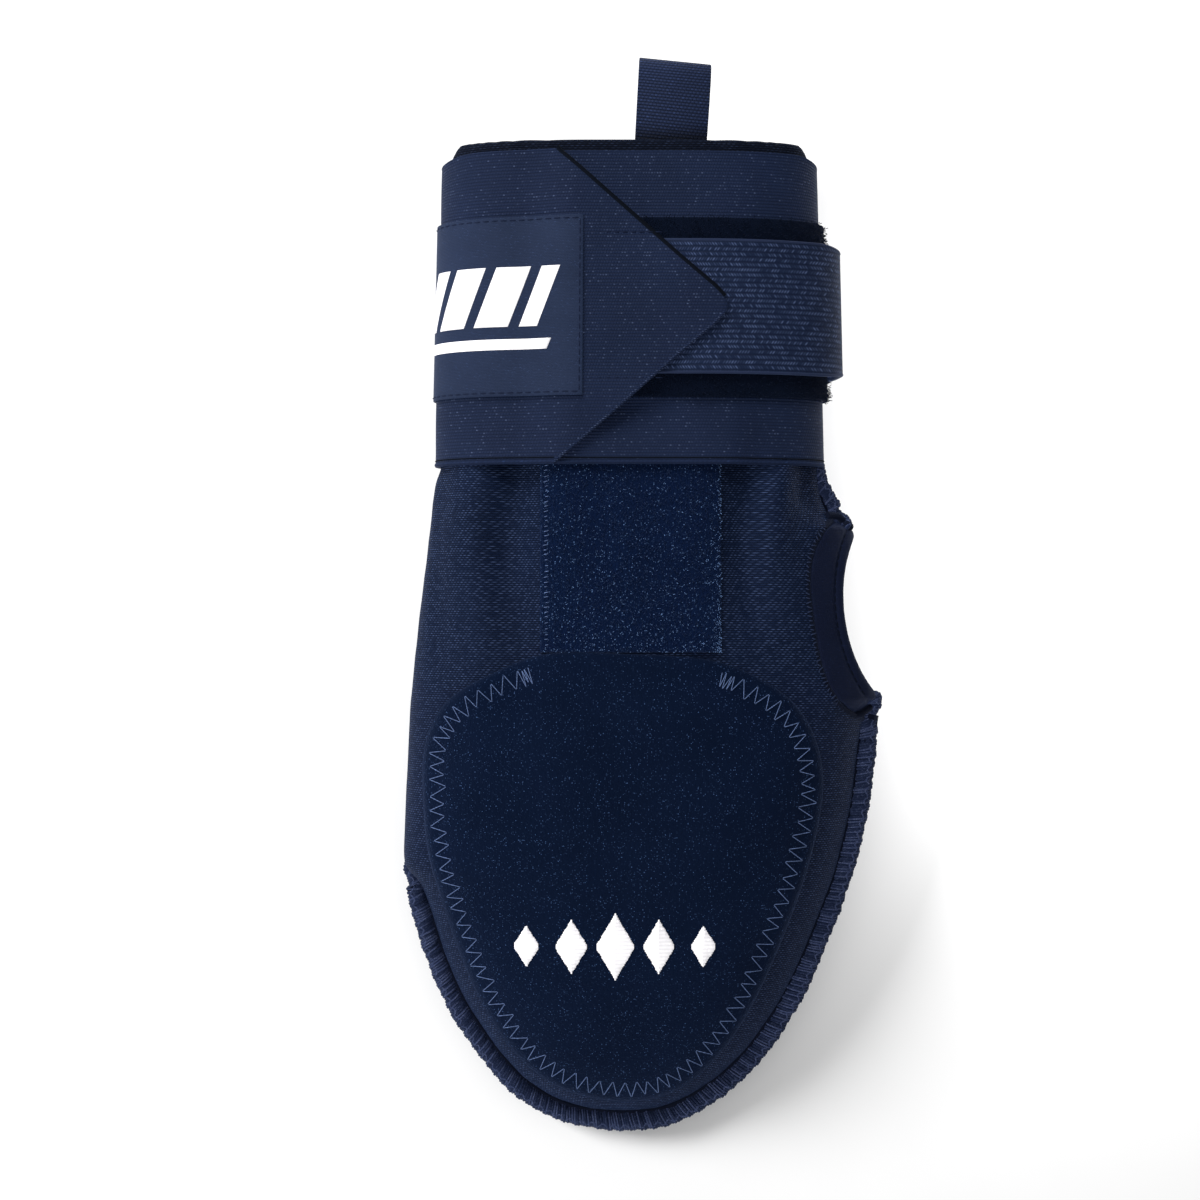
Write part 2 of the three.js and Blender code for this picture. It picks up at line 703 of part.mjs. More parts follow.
// Five raised lozenges in a row, the middle one largest
const MOTIF_COUNT = 5;
const MOTIF_ACROSS = -0.02;
const MOTIF_ALONG = -0.13;
const MOTIF_SHRINK = 0.2;
const MOTIF_FILL = 0.84;
const MOTIF_END_TRIM = 0.3;
const MOTIF_SHOULDER = 0.82;
const MOTIF_CORNERS = [
  [1, 0],
  [0, 1],
  [-1, 0],
  [0, -1],
];
const motifMiddle = [PAD_MIDDLE[0] + MOTIF_ACROSS * PAD_WIDTH, PAD_MIDDLE[1] + MOTIF_ALONG * PAD_LENGTH];

function motifLozenge(index) {
  const fromMiddle = index - (MOTIF_COUNT - 1) / 2;
  const size = 1 - MOTIF_SHRINK * Math.abs(fromMiddle);
  const pitch = MOTIF_SPAN / (MOTIF_COUNT - MOTIF_END_TRIM);
  const halfWidth = (MOTIF_FILL / 2) * pitch * size;
  const halfHeight = (MOTIF_HEIGHT / 2) * size;
  const x = motifMiddle[0] + pitch * fromMiddle;
  const base = padOffset(0.5) + GAP;
  const ringAt = (share, offset) =>
    MOTIF_CORNERS.map(([across, along]) => {
      const place = [x + across * halfWidth * share, motifMiddle[1] + along * halfHeight * share];
      return onFront(...place, offset);
    });
  const rings = [
    ringAt(1, base),
    ringAt(1, base + MOTIF_RAISE / 2),
    ringAt(MOTIF_SHOULDER, base + MOTIF_RAISE),
  ];
  return loft(rings, closeWithFan);
}

// Webbing folded into a drop and held by two legs inside the front of the cuff
const LOOP_ACROSS = 0.106;
const LOOP_STEPS = 18;

function pullLoop() {
  const root = cuffHigh.along;
  const middle = CUFF_CENTRE + LOOP_ACROSS * CUFF_WIDTH;
  const corner = middle + LOOP_WIDTH / 2;
  const share = (corner - CUFF_CENTRE) / (cuffHigh.right - CUFF_CENTRE);
  const inner = cuffHigh.top - NEOPRENE - cuffSag(share);
  const apart = (LOOP_THICKNESS + GAP) / 2;
  const centre = inner - GAP - LOOP_THICKNESS / 2 - apart;
  const path = [[root - LOOP_LEG, centre + apart]];
  for (let step = 0; step <= LOOP_STEPS; step += 1) {
    const angle = (Math.PI * step) / LOOP_STEPS;
    const along = root + (LOOP_LENGTH - LOOP_THICKNESS / 2) * Math.sin(angle);
    path.push([along, centre + apart * Math.cos(angle) + LOOP_OPENING * Math.sin(2 * angle)]);
  }
  path.push([root - LOOP_LEG, centre - apart]);
  const rings = path.map(([along, height], index) => {
    const before = path[Math.max(index - 1, 0)];
    const after = path[Math.min(index + 1, path.length - 1)];
    const run = new THREE.Vector2(after[0] - before[0], after[1] - before[1]).normalize();
    const lean = LOOP_LEAN * Math.max(0, (along - root) / LOOP_LENGTH);
    return [
      [-1, 1],
      [1, 1],
      [1, -1],
      [-1, -1],
    ].map(([side, face]) => {
      const aside = (face * LOOP_THICKNESS) / 2;
      return new THREE.Vector3(
        middle + lean + (side * LOOP_WIDTH) / 2,
        along - run.y * aside,
        height + run.x * aside,
      );
    });
  });
  return loft(rings, closeStrip);
}

// How far the cuff's front has fallen below its top at a share of its half width
function cuffSag(share) {
  const half = cuffHigh.top - cuffHigh.edge;
  return half * (1 - profile(Math.abs(share), cuffHigh.flatTop, TOP_SQUARENESS));
}

// Colours and finishes
const NAVY_NEOPRENE = { color: 0x171f30, roughness: 0.8, metalness: 0 };
const NAVY_THREAD = { color: 0x141c30, roughness: 0.75, metalness: 0 };
const NAVY_BINDING = { color: 0x111828, roughness: 0.85, metalness: 0 };
const NAVY_BRUSHED = { color: 0x0a1527, roughness: 0.95, metalness: 0 };
const NAVY_LOOP_PILE = { color: 0x0f1e36, roughness: 0.95, metalness: 0 };
const NAVY_ELASTIC = { color: 0x1c273c, roughness: 0.7, metalness: 0 };
const NAVY_HOOK = { color: 0x262e46, roughness: 0.6, metalness: 0 };
const NAVY_LABEL = { color: 0x1b2338, roughness: 0.65, metalness: 0 };
const NAVY_WEBBING = { color: 0x222c40, roughness: 0.65, metalness: 0 };
const WHITE_THREAD = { color: 0xe8e4e4, roughness: 0.5, metalness: 0 };

const mitt = new THREE.Group();

function addPiece(name, geometry, finish) {
  const piece = new THREE.Mesh(geometry, new THREE.MeshStandardMaterial(finish));
  piece.name = name;
  mitt.add(piece);
}

// The seams' ends as shares of HAND_LENGTH, and how many steps they take
const TOE_SEAM_LEFT = 0.365;
const TOE_SEAM_RIGHT = 0.628;
const TOE_SEAM_STEPS = 68;
const WRIST_SEAM_LOW = 0.928;
const WRIST_SEAM_STEPS = 5;
const seamStart = -placeOf(TOE_AT + TOE_SEAM_LEFT * HAND_LENGTH);
const seamEnd = placeOf(TOE_AT + TOE_SEAM_RIGHT * HAND_LENGTH);
const wristSeamStart = placeOf(TOE_AT + WRIST_SEAM_LOW * HAND_LENGTH);
const wristSeamEnd = placeOf(CUFF_AT - GAP);

addPiece("neoprene_shell", neopreneShell(), NAVY_NEOPRENE);
addPiece("toe_seam", seamRidge(seamStart, seamEnd, TOE_SEAM_STEPS), NAVY_THREAD);
addPiece("wrist_seam", seamRidge(wristSeamStart, wristSeamEnd, WRIST_SEAM_STEPS), NAVY_THREAD);
addPiece("thumb_binding", thumbBinding(), NAVY_BINDING);
addPiece("knuckle_pad", knucklePad(), NAVY_BRUSHED);
addPiece("loop_strip", loopStrip(), NAVY_LOOP_PILE);
addPiece("wrist_strap", wristStrap(), NAVY_ELASTIC);
addPiece("strap_loop_tape", strapLoopTape(), NAVY_LOOP_PILE);
addPiece("closure_strap", closureStrap(), NAVY_HOOK);
addPiece("label_patch", labelPatch(), NAVY_LABEL);
addPiece("pull_loop", pullLoop(), NAVY_WEBBING);
for (let index = 0; index < MOTIF_COUNT; index += 1) {
  addPiece(`motif_lozenge_${index + 1}`, motifLozenge(index), WHITE_THREAD);
}

// The origin is the middle of the mitt's footprint, on the surface that it lies on
const bounds = new THREE.Box3().setFromObject(mitt);
const footprint = bounds.getCenter(new THREE.Vector3());
mitt.position.set(-footprint.x, -footprint.y, -bounds.min.z);

export default mitt;
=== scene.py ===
"""Dresses the solids of a sliding mitt in knitted neoprene, ribbed elastic, pile, thread and webbing."""

import math
import random

import bmesh
import bpy
from bpy.props import FloatProperty, FloatVectorProperty, PointerProperty
from mathutils import Matrix, Vector, noise
from mathutils.bvhtree import BVHTree


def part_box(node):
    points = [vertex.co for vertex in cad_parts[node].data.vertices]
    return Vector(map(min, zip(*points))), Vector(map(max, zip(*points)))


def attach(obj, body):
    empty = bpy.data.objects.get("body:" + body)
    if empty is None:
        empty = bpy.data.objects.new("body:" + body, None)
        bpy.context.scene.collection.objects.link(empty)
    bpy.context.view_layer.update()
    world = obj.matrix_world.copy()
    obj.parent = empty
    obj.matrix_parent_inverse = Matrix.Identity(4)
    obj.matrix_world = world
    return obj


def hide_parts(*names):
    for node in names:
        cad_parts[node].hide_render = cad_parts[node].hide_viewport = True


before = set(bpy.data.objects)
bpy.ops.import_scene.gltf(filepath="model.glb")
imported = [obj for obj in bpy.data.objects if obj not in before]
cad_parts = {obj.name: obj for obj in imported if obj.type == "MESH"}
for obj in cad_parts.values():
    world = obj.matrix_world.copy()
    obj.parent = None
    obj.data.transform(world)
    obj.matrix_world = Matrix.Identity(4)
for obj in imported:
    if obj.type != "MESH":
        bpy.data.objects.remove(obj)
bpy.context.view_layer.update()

bl_info = {
    "name": "Sliding Mitt Dressing",
    "version": (1, 0, 0),
    "blender": (4, 5, 0),
    "location": "View3D > Sidebar > Mitt",
    "description": "Dresses the solids of a sliding mitt in cloth, pile and thread, and lights them",
    "category": "Object",
}

BODY = "root"

UP = Vector((0, 0, 1))

# Clearances between pieces that lie on each other, as in the solids
GAP = 0.0003
DRAPED_GAP = 0.0005

# Places round the cuff, 0 to 1 over the front from left to right and 1 to 2 over the back
STRAP_START = 0.30
TAPE_START = 0.42
TAPE_END = 1.80
CLOSURE_START = 0.43
CLOSURE_END = 1.70
LABEL_START = 1.84
LAP_START = 2.06
STAND_OFF_REACH = 0.22

# How far the cuff's top corners droop, and how far round from the side
LEFT_DROOP = 0.0018
LEFT_DROOP_REACH = 0.20
RIGHT_DROOP = 0.0020
RIGHT_DROOP_REACH = 0.16

# The thumb hole in plan
THUMB_CENTRE = Vector((0.0770, -0.0014))
THUMB_TILT = math.radians(8.6)


def linear(red, green, blue):
    """A colour as the eye reads it, 0 to 255, in the linear values that a renderer uses."""
    shares = [value / 255 for value in (red, green, blue)]
    return tuple(s / 12.92 if s < 0.04045 else ((s + 0.055) / 1.055) ** 2.4 for s in shares)


def lerp(low, high, share):
    return low + (high - low) * share


def smooth_step(low, high, value):
    share = min(max((value - low) / (high - low), 0), 1)
    return share * share * (3 - 2 * share)


def length_property(name, description, default):
    unit = {"unit": "LENGTH", "subtype": "DISTANCE"}
    return FloatProperty(name=name, description=description, default=default, **unit)


def share_property(name, description, default):
    return FloatProperty(name=name, description=description, default=default, subtype="FACTOR")


def colour_property(name, description, *red_green_blue):
    default = linear(*red_green_blue)
    return FloatVectorProperty(name=name, description=description, default=default, size=3, subtype="COLOR")


class MittSizes(bpy.types.PropertyGroup):
    """Sizes that shape the dressed pieces."""

    cuff_width: length_property("Cuff width", "Width of the pouch under the wrist strap", 0.1097)
    cuff_height: length_property("Cuff height", "Height of the pouch under the wrist strap", 0.034)
    cuff_taper: share_property("Cuff taper", "Share of its width lost at the rim", 0.04)
    cuff_centre: length_property("Cuff centre", "Sideways place of the cuff's middle", -0.003136)
    strap_thickness: length_property("Strap thickness", "Thickness of the ribbed elastic", 0.0015)
    tape_width: length_property("Loop tape width", "Width of the pile band on the elastic", 0.0508)
    tape_thickness: length_property("Loop tape thickness", "Thickness of the pile tapes", 0.0015)
    closure_width: length_property("Closure width", "Width of the herringbone strap", 0.0381)
    closure_thickness: length_property("Closure thickness", "Thickness of the herringbone strap", 0.0016)
    closure_stand_off: length_property("Closure stand-off", "How far it bows out at the side", 0.0024)
    tab_length: length_property("Tab length", "Length of the strap's pointed end", 0.0484)
    tab_tip: length_property("Tab tip", "Width of the point", 0.0035)
    label_width: length_property("Label width", "Width of the woven patch", 0.0508)
    label_thickness: length_property("Label thickness", "Thickness of the woven patch", 0.0008)
    strip_tuck: length_property("Strip tuck", "How far the front strip goes under the strap", 0.008)
    pad_thickness: length_property("Pad thickness", "Thickness of the pad over the knuckles", 0.0030)
    pad_roll: length_property("Pad roll", "Width of the pad's rolled edge", 0.0032)
    zigzag_inset: length_property("Zigzag inset", "From the pad's edge to the outer stitch holes", 0.0021)
    zigzag_width: length_property("Zigzag width", "Width of the zigzag row", 0.0050)
    zigzag_pitch: length_property("Zigzag pitch", "Length of a zigzag along its row", 0.0043)
    thread_radius: length_property("Thread radius", "Radius of the sewing thread", 0.00012)
    overlock_pitch: length_property("Overlock pitch", "From one overlock loop to the next", 0.0008)
    overlock_radius: length_property("Overlock radius", "Radius of an overlock loop's thread", 0.00048)
    seam_width: length_property("Seam width", "Width of the overlocked ridge", 0.0048)
    seam_height: length_property("Seam height", "Height of the overlocked ridge", 0.0060)
    rib_pitch: length_property("Rib pitch", "From rib to rib in the elastic", 0.0009)
    knit_pitch: length_property("Knit pitch", "From course to course in the neoprene's face", 0.00064)
    thumb_depth: length_property("Thumb depth", "Half the thumb hole's depth in plan", 0.0186)
    thumb_half: length_property("Thumb half length", "Half the thumb hole's length", 0.0295)


class MittColours(bpy.types.PropertyGroup):
    """Colours of the cloths and threads."""

    neoprene: colour_property("Neoprene", "Knitted face of the neoprene", 5, 17, 40)
    seam: colour_property("Seam thread", "Wound thread of the overlocked seams", 20, 29, 53)
    binding: colour_property("Binding", "Smooth stretch band of the thumb hole", 9, 16, 36)
    pad: colour_property("Pad", "Brushed cloth over the knuckles", 1, 11, 32)
    pile: colour_property("Pile", "Loop tapes", 2, 16, 43)
    elastic: colour_property("Elastic", "Ribbed wrist strap", 18, 28, 51)
    hook: colour_property("Hook strap", "Herringbone closure strap", 15, 26, 49)
    label: colour_property("Label", "Woven patch", 27, 37, 59)
    webbing: colour_property("Webbing", "Ribbed pull loop", 25, 34, 58)
    stitch: colour_property("Stitch", "Light sewing thread", 74, 90, 124)
    white: colour_property("White", "Raised stitching and printed bars", 236, 234, 237)


# Shader nodes


class Graph:
    """Places nodes in a material's or a group's tree. An input is a value or another node's output."""

    def __init__(self, tree):
        self.tree = tree

    def add(self, kind, inputs=None, **settings):
        node = self.tree.nodes.new(kind)
        for name, value in settings.items():
            setattr(node, name, value)
        for key, value in (inputs or {}).items():
            if isinstance(value, bpy.types.NodeSocket):
                self.tree.links.new(value, node.inputs[key])
            else:
                node.inputs[key].default_value = value
        return node

    def math(self, operation, *values):
        return self.add("ShaderNodeMath", dict(enumerate(values)), operation=operation).outputs[0]

    def mix(self, factor, first, second):
        inputs = {0: factor, 6: first, 7: second}
        return self.add("ShaderNodeMix", inputs, data_type="RGBA").outputs[2]

    def scale(self, colour, share):
        return self.add("ShaderNodeVectorMath", {0: colour, 3: share}, operation="SCALE").outputs[0]

    def group(self, build, inputs):
        """A group that is built once, placed with its own values."""
        name = build.__name__.replace("_", " ").capitalize()
        tree = bpy.data.node_groups.get(name) or build(name)
        return self.add("ShaderNodeGroup", inputs, node_tree=tree).outputs

    def link(self, output, socket):
        self.tree.links.new(output, socket)


def new_group(name, inputs, outputs):
    """An empty group with named sockets, and the sockets of its two end nodes."""
    tree = bpy.data.node_groups.new(name, "ShaderNodeTree")
    for socket, kind in inputs.items():
        tree.interface.new_socket(name=socket, in_out="INPUT", socket_type=kind)
    for socket, kind in outputs.items():
        tree.interface.new_socket(name=socket, in_out="OUTPUT", socket_type=kind)
    start = tree.nodes.new("NodeGroupInput")
    end = tree.nodes.new("NodeGroupOutput")
    return Graph(tree), start.outputs, end.inputs


FLOAT = "NodeSocketFloat"
VECTOR = "NodeSocketVector"

# From rib to rib the yarns are shifted by this share of a dash, so that no row repeats its neighbour
ROW_SHIFT = 0.618
YARN_ROUNDNESS = 2.0
YARN_RELIEF = 0.45


def ribbed_weave(name):
    """Ribs across Y, each made of yarn dashes. The rarer the lit ones, the higher the rarity."""
    inputs = {"Vector": VECTOR, "Pitch": FLOAT, "Dash": FLOAT}
    inputs |= {"Slant": FLOAT, "Rarity": FLOAT, "Sharpness": FLOAT}
    graph, given, result = new_group(name, inputs, {"Height": FLOAT, "Glint": FLOAT})
    place = graph.add("ShaderNodeSeparateXYZ", {0: given["Vector"]}).outputs
    row = graph.math("DIVIDE", place[1], given["Pitch"])
    row_number = graph.math("FLOOR", row)
    row_part = graph.math("FRACT", row)
    ridge = graph.math("SINE", graph.math("MULTIPLY", row_part, math.pi))
    turned = graph.math("COSINE", graph.math("MULTIPLY", row_number, math.pi))
    lean = graph.math("MULTIPLY", graph.math("MULTIPLY", row_part, given["Slant"]), turned)
    along = graph.math("DIVIDE", place[0], given["Dash"])
    shift = graph.math("MULTIPLY", row_number, ROW_SHIFT)
    along = graph.math("ADD", graph.math("ADD", along, lean), shift)
    yarn = graph.math("SINE", graph.math("MULTIPLY", graph.math("FRACT", along), math.pi))
    cell = graph.add("ShaderNodeCombineXYZ", {0: graph.math("FLOOR", along), 1: row_number}).outputs[0]
    chance = graph.add("ShaderNodeTexWhiteNoise", {0: cell}, noise_dimensions="3D").outputs[0]
    lit = graph.math("POWER", chance, given["Rarity"])
    sharp_ridge = graph.math("POWER", ridge, given["Sharpness"])
    crest = graph.math("MULTIPLY", sharp_ridge, graph.math("POWER", yarn, YARN_ROUNDNESS))
    height = graph.math("MULTIPLY", ridge, graph.math("MULTIPLY_ADD", yarn, YARN_RELIEF, 1 - YARN_RELIEF))
    graph.link(height, result["Height"])
    graph.link(graph.math("MULTIPLY", lit, crest), result["Glint"])
    return graph.tree


# Most specks are faint: this is the least brightness, and how fast the bright ones get rare
FAINTEST_SPECK = 0.15
SPECK_RARITY = 4.0


def lint_specks(name):
    """Single bright fibre ends, scattered."""
    inputs = {"Vector": VECTOR, "Scale": FLOAT, "Amount": FLOAT, "Size": FLOAT}
    graph, given, result = new_group(name, inputs, {"Speck": FLOAT})
    cells = graph.add("ShaderNodeTexVoronoi", {"Vector": given["Vector"], "Scale": given["Scale"]})
    near = graph.math("LESS_THAN", cells.outputs["Distance"], given["Size"])
    shares = graph.add("ShaderNodeSeparateColor", {0: cells.outputs["Color"]}).outputs
    chosen = graph.math("GREATER_THAN", shares[0], graph.math("SUBTRACT", 1.0, given["Amount"]))
    rare = graph.math("POWER", shares[1], SPECK_RARITY)
    bright = graph.math("MULTIPLY_ADD", rare, 1 - FAINTEST_SPECK, FAINTEST_SPECK)
    speck = graph.math("MULTIPLY", graph.math("MULTIPLY", near, chosen), bright)
    graph.link(speck, result["Speck"])
    return graph.tree


def cloth_tone(name):
    """Slow changes of tone over a cloth, and the fine fuzz of its fibres."""
    inputs = {"Vector": VECTOR, "Patch": FLOAT, "Fibre": FLOAT}
    graph, given, result = new_group(name, inputs, {"Tone": FLOAT, "Fuzz": FLOAT})
    patch = {"Vector": given["Vector"], "Scale": given["Patch"], "Detail": 3.0, "Roughness": 0.6}
    tone = graph.add("ShaderNodeTexNoise", patch).outputs[0]
    fibre = {"Vector": given["Vector"], "Scale": given["Fibre"], "Detail": 2.0, "Roughness": 0.7}
    fuzz = graph.add("ShaderNodeTexNoise", fibre).outputs[0]
    graph.link(tone, result["Tone"])
    graph.link(fuzz, result["Fuzz"])
    return graph.tree


def shade(colour, share):
    return (*[channel * share for channel in colour], 1.0)


# What every cloth has in common: the scale of its slow patches, how far they darken, lighten and smooth it,
# the brightness of its lit yarns beside its colour, and its sheen and shine
PATCH_SCALE = 45.0
PATCH_DARK = 0.72
PATCH_BRIGHT = 1.28
PATCH_SMOOTHING = 0.2
YARN_BRIGHTNESS = 3.0
SHEEN_ROUGHNESS = 0.45
SHEEN_TINT = (0.25, 0.38, 0.8, 1.0)
SHINE = 0.06


def cloth(name, colour, weave, *, on_uv=False, turn=0.0, deep=0.55, bright=1.35, glint=None, specks=None,
          relief=0.0003, fuzz=0.35, fibre=2600.0, roughness=0.8, sheen=0.06, sharpness=7.0, dark=None):
    """A cloth: a base colour with slow tones, ribs painted darker in their grooves, painted glints on lit
    yarns, lint and a fuzzy, matt surface.

    A weave gives the pitch of its ribs, a yarn's length and slant, and how rare lit yarns are. Specks have
    a scale, the share that shows, a size and a colour. The cloth darkens along Y where dark gives two places
    and the share of its colour left at the second; on the pull loop this is painted shade.
    """
    material = bpy.data.materials.new(name)
    material.use_nodes = True
    graph = Graph(material.node_tree)
    shader = material.node_tree.nodes["Principled BSDF"].inputs
    if on_uv:
        vector = graph.add("ShaderNodeUVMap", uv_map="UVMap").outputs[0]
    else:
        vector = graph.add("ShaderNodeTexCoord").outputs["Object"]
    if turn:
        vector = graph.add("ShaderNodeMapping", {"Vector": vector, "Rotation": (0, 0, turn)}).outputs[0]
    tone = graph.group(cloth_tone, {"Vector": vector, "Patch": PATCH_SCALE, "Fibre": fibre})
    base = graph.mix(tone["Tone"], shade(colour, PATCH_DARK), shade(colour, PATCH_BRIGHT))
    height = graph.math("MULTIPLY", tone["Fuzz"], fuzz)
    if weave:
        pitch, dash, slant, rarity = weave
        inputs = {"Vector": vector, "Pitch": pitch, "Dash": dash}
        inputs |= {"Slant": slant, "Rarity": rarity, "Sharpness": sharpness}
        ribs = graph.group(ribbed_weave, inputs)
        # The ribs are painted darker in their grooves, down to deep, and lighter on their crests, up to
        # bright: painted shade and light beside the bump.
        base = graph.scale(base, graph.math("MULTIPLY_ADD", ribs["Height"], bright - deep, deep))
        base = graph.mix(ribs["Glint"], base, shade(glint, 1) if glint else shade(colour, YARN_BRIGHTNESS))
        height = graph.math("ADD", height, ribs["Height"])
    if specks:
        scale, amount, size, speck_colour = specks
        inputs = {"Vector": vector, "Scale": scale, "Amount": amount, "Size": size}
        base = graph.mix(graph.group(lint_specks, inputs)["Speck"], base, shade(speck_colour, 1))
    if dark:
        low, high, share = dark
        own = graph.add("ShaderNodeTexCoord").outputs["Object"]
        place = graph.add("ShaderNodeSeparateXYZ", {0: own}).outputs
        limits = {"Value": place[1], "From Min": low, "From Max": high, "To Min": 1.0, "To Max": share}
        base = graph.scale(base, graph.add("ShaderNodeMapRange", limits).outputs[0])
    bump = {"Height": height, "Distance": relief, "Strength": 1.0}
    worn = graph.math("MULTIPLY_ADD", tone["Tone"], -PATCH_SMOOTHING, roughness + PATCH_SMOOTHING / 2)
    graph.link(base, shader["Base Color"])
    graph.link(worn, shader["Roughness"])
    graph.link(graph.add("ShaderNodeBump", bump).outputs[0], shader["Normal"])
    shader["Sheen Weight"].default_value = sheen
    shader["Sheen Roughness"].default_value = SHEEN_ROUGHNESS
    shader["Sheen Tint"].default_value = SHEEN_TINT
    shader["Specular IOR Level"].default_value = SHINE
    return material


# Finishes


def finish(make):
    """A finish, made on its first use and named for the function that makes it."""
    scene = bpy.context.scene
    name = make.__name__
    return bpy.data.materials.get(name) or make(name, scene.mitt_colours, scene.mitt_sizes)


def knitted_neoprene(name, colours, sizes):
    weave = (sizes.knit_pitch, 0.0017, 0.0, 1.3)
    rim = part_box("wrist_strap")[1].y
    return cloth(name, colours.neoprene, weave, on_uv=True, glint=linear(60, 75, 109), relief=0.00020,
                 roughness=0.7, deep=0.45, bright=1.35, dark=(rim - 0.0015, rim + 0.0005, 0.35))


def wound_thread(name, colours, sizes):
    weave = (0.0003, 0.0007, 0.8, 3.0)
    return cloth(name, colours.seam, weave, glint=linear(84, 94, 126), relief=0.0001, roughness=0.7,
                 sheen=0.1)


# A paler copy of the seam thread with brighter glints, laid over loops and chains: painted highlight.
def wound_thread_painted_highlight(name, colours, sizes):
    weave = (0.0003, 0.0007, 0.8, 1.5)
    return cloth(name, linear(44, 53, 82), weave, glint=linear(112, 122, 154), relief=0.0001, roughness=0.7,
                 sheen=0.1)


# The seams' core: the seam thread darkened to a third, painted shade deep between the loops.
def seam_core_painted_shade(name, colours, sizes):
    return cloth(name, shade(colours.seam, 0.3)[:3], None, relief=0.0004, roughness=0.9)


# Painted shade for the dark cords in the grooves by the seams and the thumb band's border.
def seam_groove_painted_shade(name, colours, sizes):
    return seam_core_painted_shade(name, colours, sizes)


def stretch_binding(name, colours, sizes):
    weave = (0.00045, 0.0006, 0.5, 12.0)
    return cloth(name, colours.binding, weave, relief=0.00006, deep=0.85, bright=1.1, roughness=0.75)


def brushed_cloth(name, colours, sizes):
    specks = (2500.0, 0.26, 0.32, linear(66, 90, 132))
    return cloth(name, colours.pad, None, specks=specks, relief=0.00022, fuzz=1.6, fibre=1300.0,
                 roughness=0.95, sheen=0.1)


def loop_pile_cloth(name, colours, sizes):
    specks = (2000.0, 0.30, 0.32, linear(82, 110, 152))
    return cloth(name, colours.pile, None, specks=specks, relief=0.0006, fuzz=1.6, fibre=1500.0,
                 roughness=0.95, sheen=0.1)


def pile_fibre(name, colours, sizes):
    return cloth(name, colours.pile, None, relief=0.0001, roughness=0.7, sheen=0.15)


# Pale fibres among the front strip's pile: painted glints.
def painted_glint_fibre(name, colours, sizes):
    return cloth(name, linear(96, 124, 166), None, relief=0.0001, roughness=0.5, sheen=0.15)


def dark_fur(name, colours, sizes):
    return cloth(name, linear(3, 10, 26), None, relief=0.0004, fuzz=1.4, roughness=0.95, sheen=0.03)


def pile_fibre_dark(name, colours, sizes):
    return dark_fur(name, colours, sizes)


def ribbed_elastic(name, colours, sizes):
    weave = (sizes.rib_pitch, 0.0008, 0.0, 11.0)
    return cloth(name, colours.elastic, weave, on_uv=True, glint=linear(68, 80, 108), relief=0.00018,
                 roughness=0.62, deep=0.74, bright=1.18)


def herringbone(name, colours, sizes):
    weave = (0.00145, 0.00075, 1.2, 1.3)
    return cloth(name, colours.hook, weave, on_uv=True, glint=linear(68, 82, 116), relief=0.00020,
                 deep=0.78, bright=1.12, roughness=0.6, sharpness=2.2)


def woven_label_cloth(name, colours, sizes):
    weave = (0.00042, 0.0007, 0.9, 12.0)
    return cloth(name, colours.label, weave, on_uv=True, relief=0.00007, deep=0.8, bright=1.15,
                 roughness=0.6)


def grosgrain(name, colours, sizes):
    weave = (0.00086, 0.0011, 0.0, 7.0)
    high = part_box("wrist_strap")[1].y
    # The webbing is painted darker toward its base, where it rises out of the cuff: painted shade.
    return cloth(name, colours.webbing, weave, turn=0.1, relief=0.0003, deep=0.3, bright=1.5, roughness=0.6,
                 dark=(high + 0.0085, high + 0.0045, 0.2))


def selvedge_thread(name, colours, sizes):
    weave = (0.0009, 0.0013, 0.4, 8.0)
    return cloth(name, colours.elastic, weave, relief=0.00012, roughness=0.7, deep=0.8, bright=1.25)


# The tab's rounded lower edge, its yarns lit far more often than the elastic's: painted highlight.
def edge_painted_highlight(name, colours, sizes):
    weave = (0.0005, 0.0009, 0.6, 1.5)
    return cloth(name, colours.elastic, weave, glint=linear(76, 86, 112), relief=0.00015, roughness=0.8)


# Near black painted shade: the groove above the strap's lower selvedge, the shadow beside the tab's upper
# edge and the thumb band's hem.
def painted_shade_black(name, colours, sizes):
    return cloth(name, linear(5, 9, 18), None, relief=0.0001, roughness=0.95, sheen=0.0)


def light_thread(name, colours, sizes):
    weave = (0.0004, 0.0005, 0.9, 3.0)
    return cloth(name, colours.stitch, weave, relief=0.00008, roughness=0.5)


def navy_thread(name, colours, sizes):
    return cloth(name, linear(30, 39, 62), None, relief=0.0001, roughness=0.6)


def deep_thread(name, colours, sizes):
    return cloth(name, linear(15, 22, 42), None, relief=0.0001, roughness=0.8)


def satin_thread(name, colours, sizes):
    weave = (0.0011, 0.0004, 0.3, 40.0)
    return cloth(name, colours.white, weave, relief=0.00008, deep=0.86, bright=1.04, roughness=0.45)


def white_print(name, colours, sizes):
    weave = (0.00042, 0.0007, 0.9, 40.0)
    return cloth(name, colours.white, weave, on_uv=True, relief=0.00004, deep=0.9, bright=1.03,
                 roughness=0.5)


# Geometry


def show(name, mesh, material, replaced=()):
    """A finished mesh becomes a piece that rides on the mitt."""
    mesh.materials.clear()
    mesh.materials.append(material)
    mesh.shade_smooth()
    piece = bpy.data.objects.new(name, mesh)
    bpy.context.scene.collection.objects.link(piece)
    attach(piece, BODY)
    if replaced:
        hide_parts(*replaced)
    return piece


def as_mesh(name, shape):
    mesh = bpy.data.meshes.new(name)
    shape.to_mesh(mesh)
    shape.free()
    return mesh


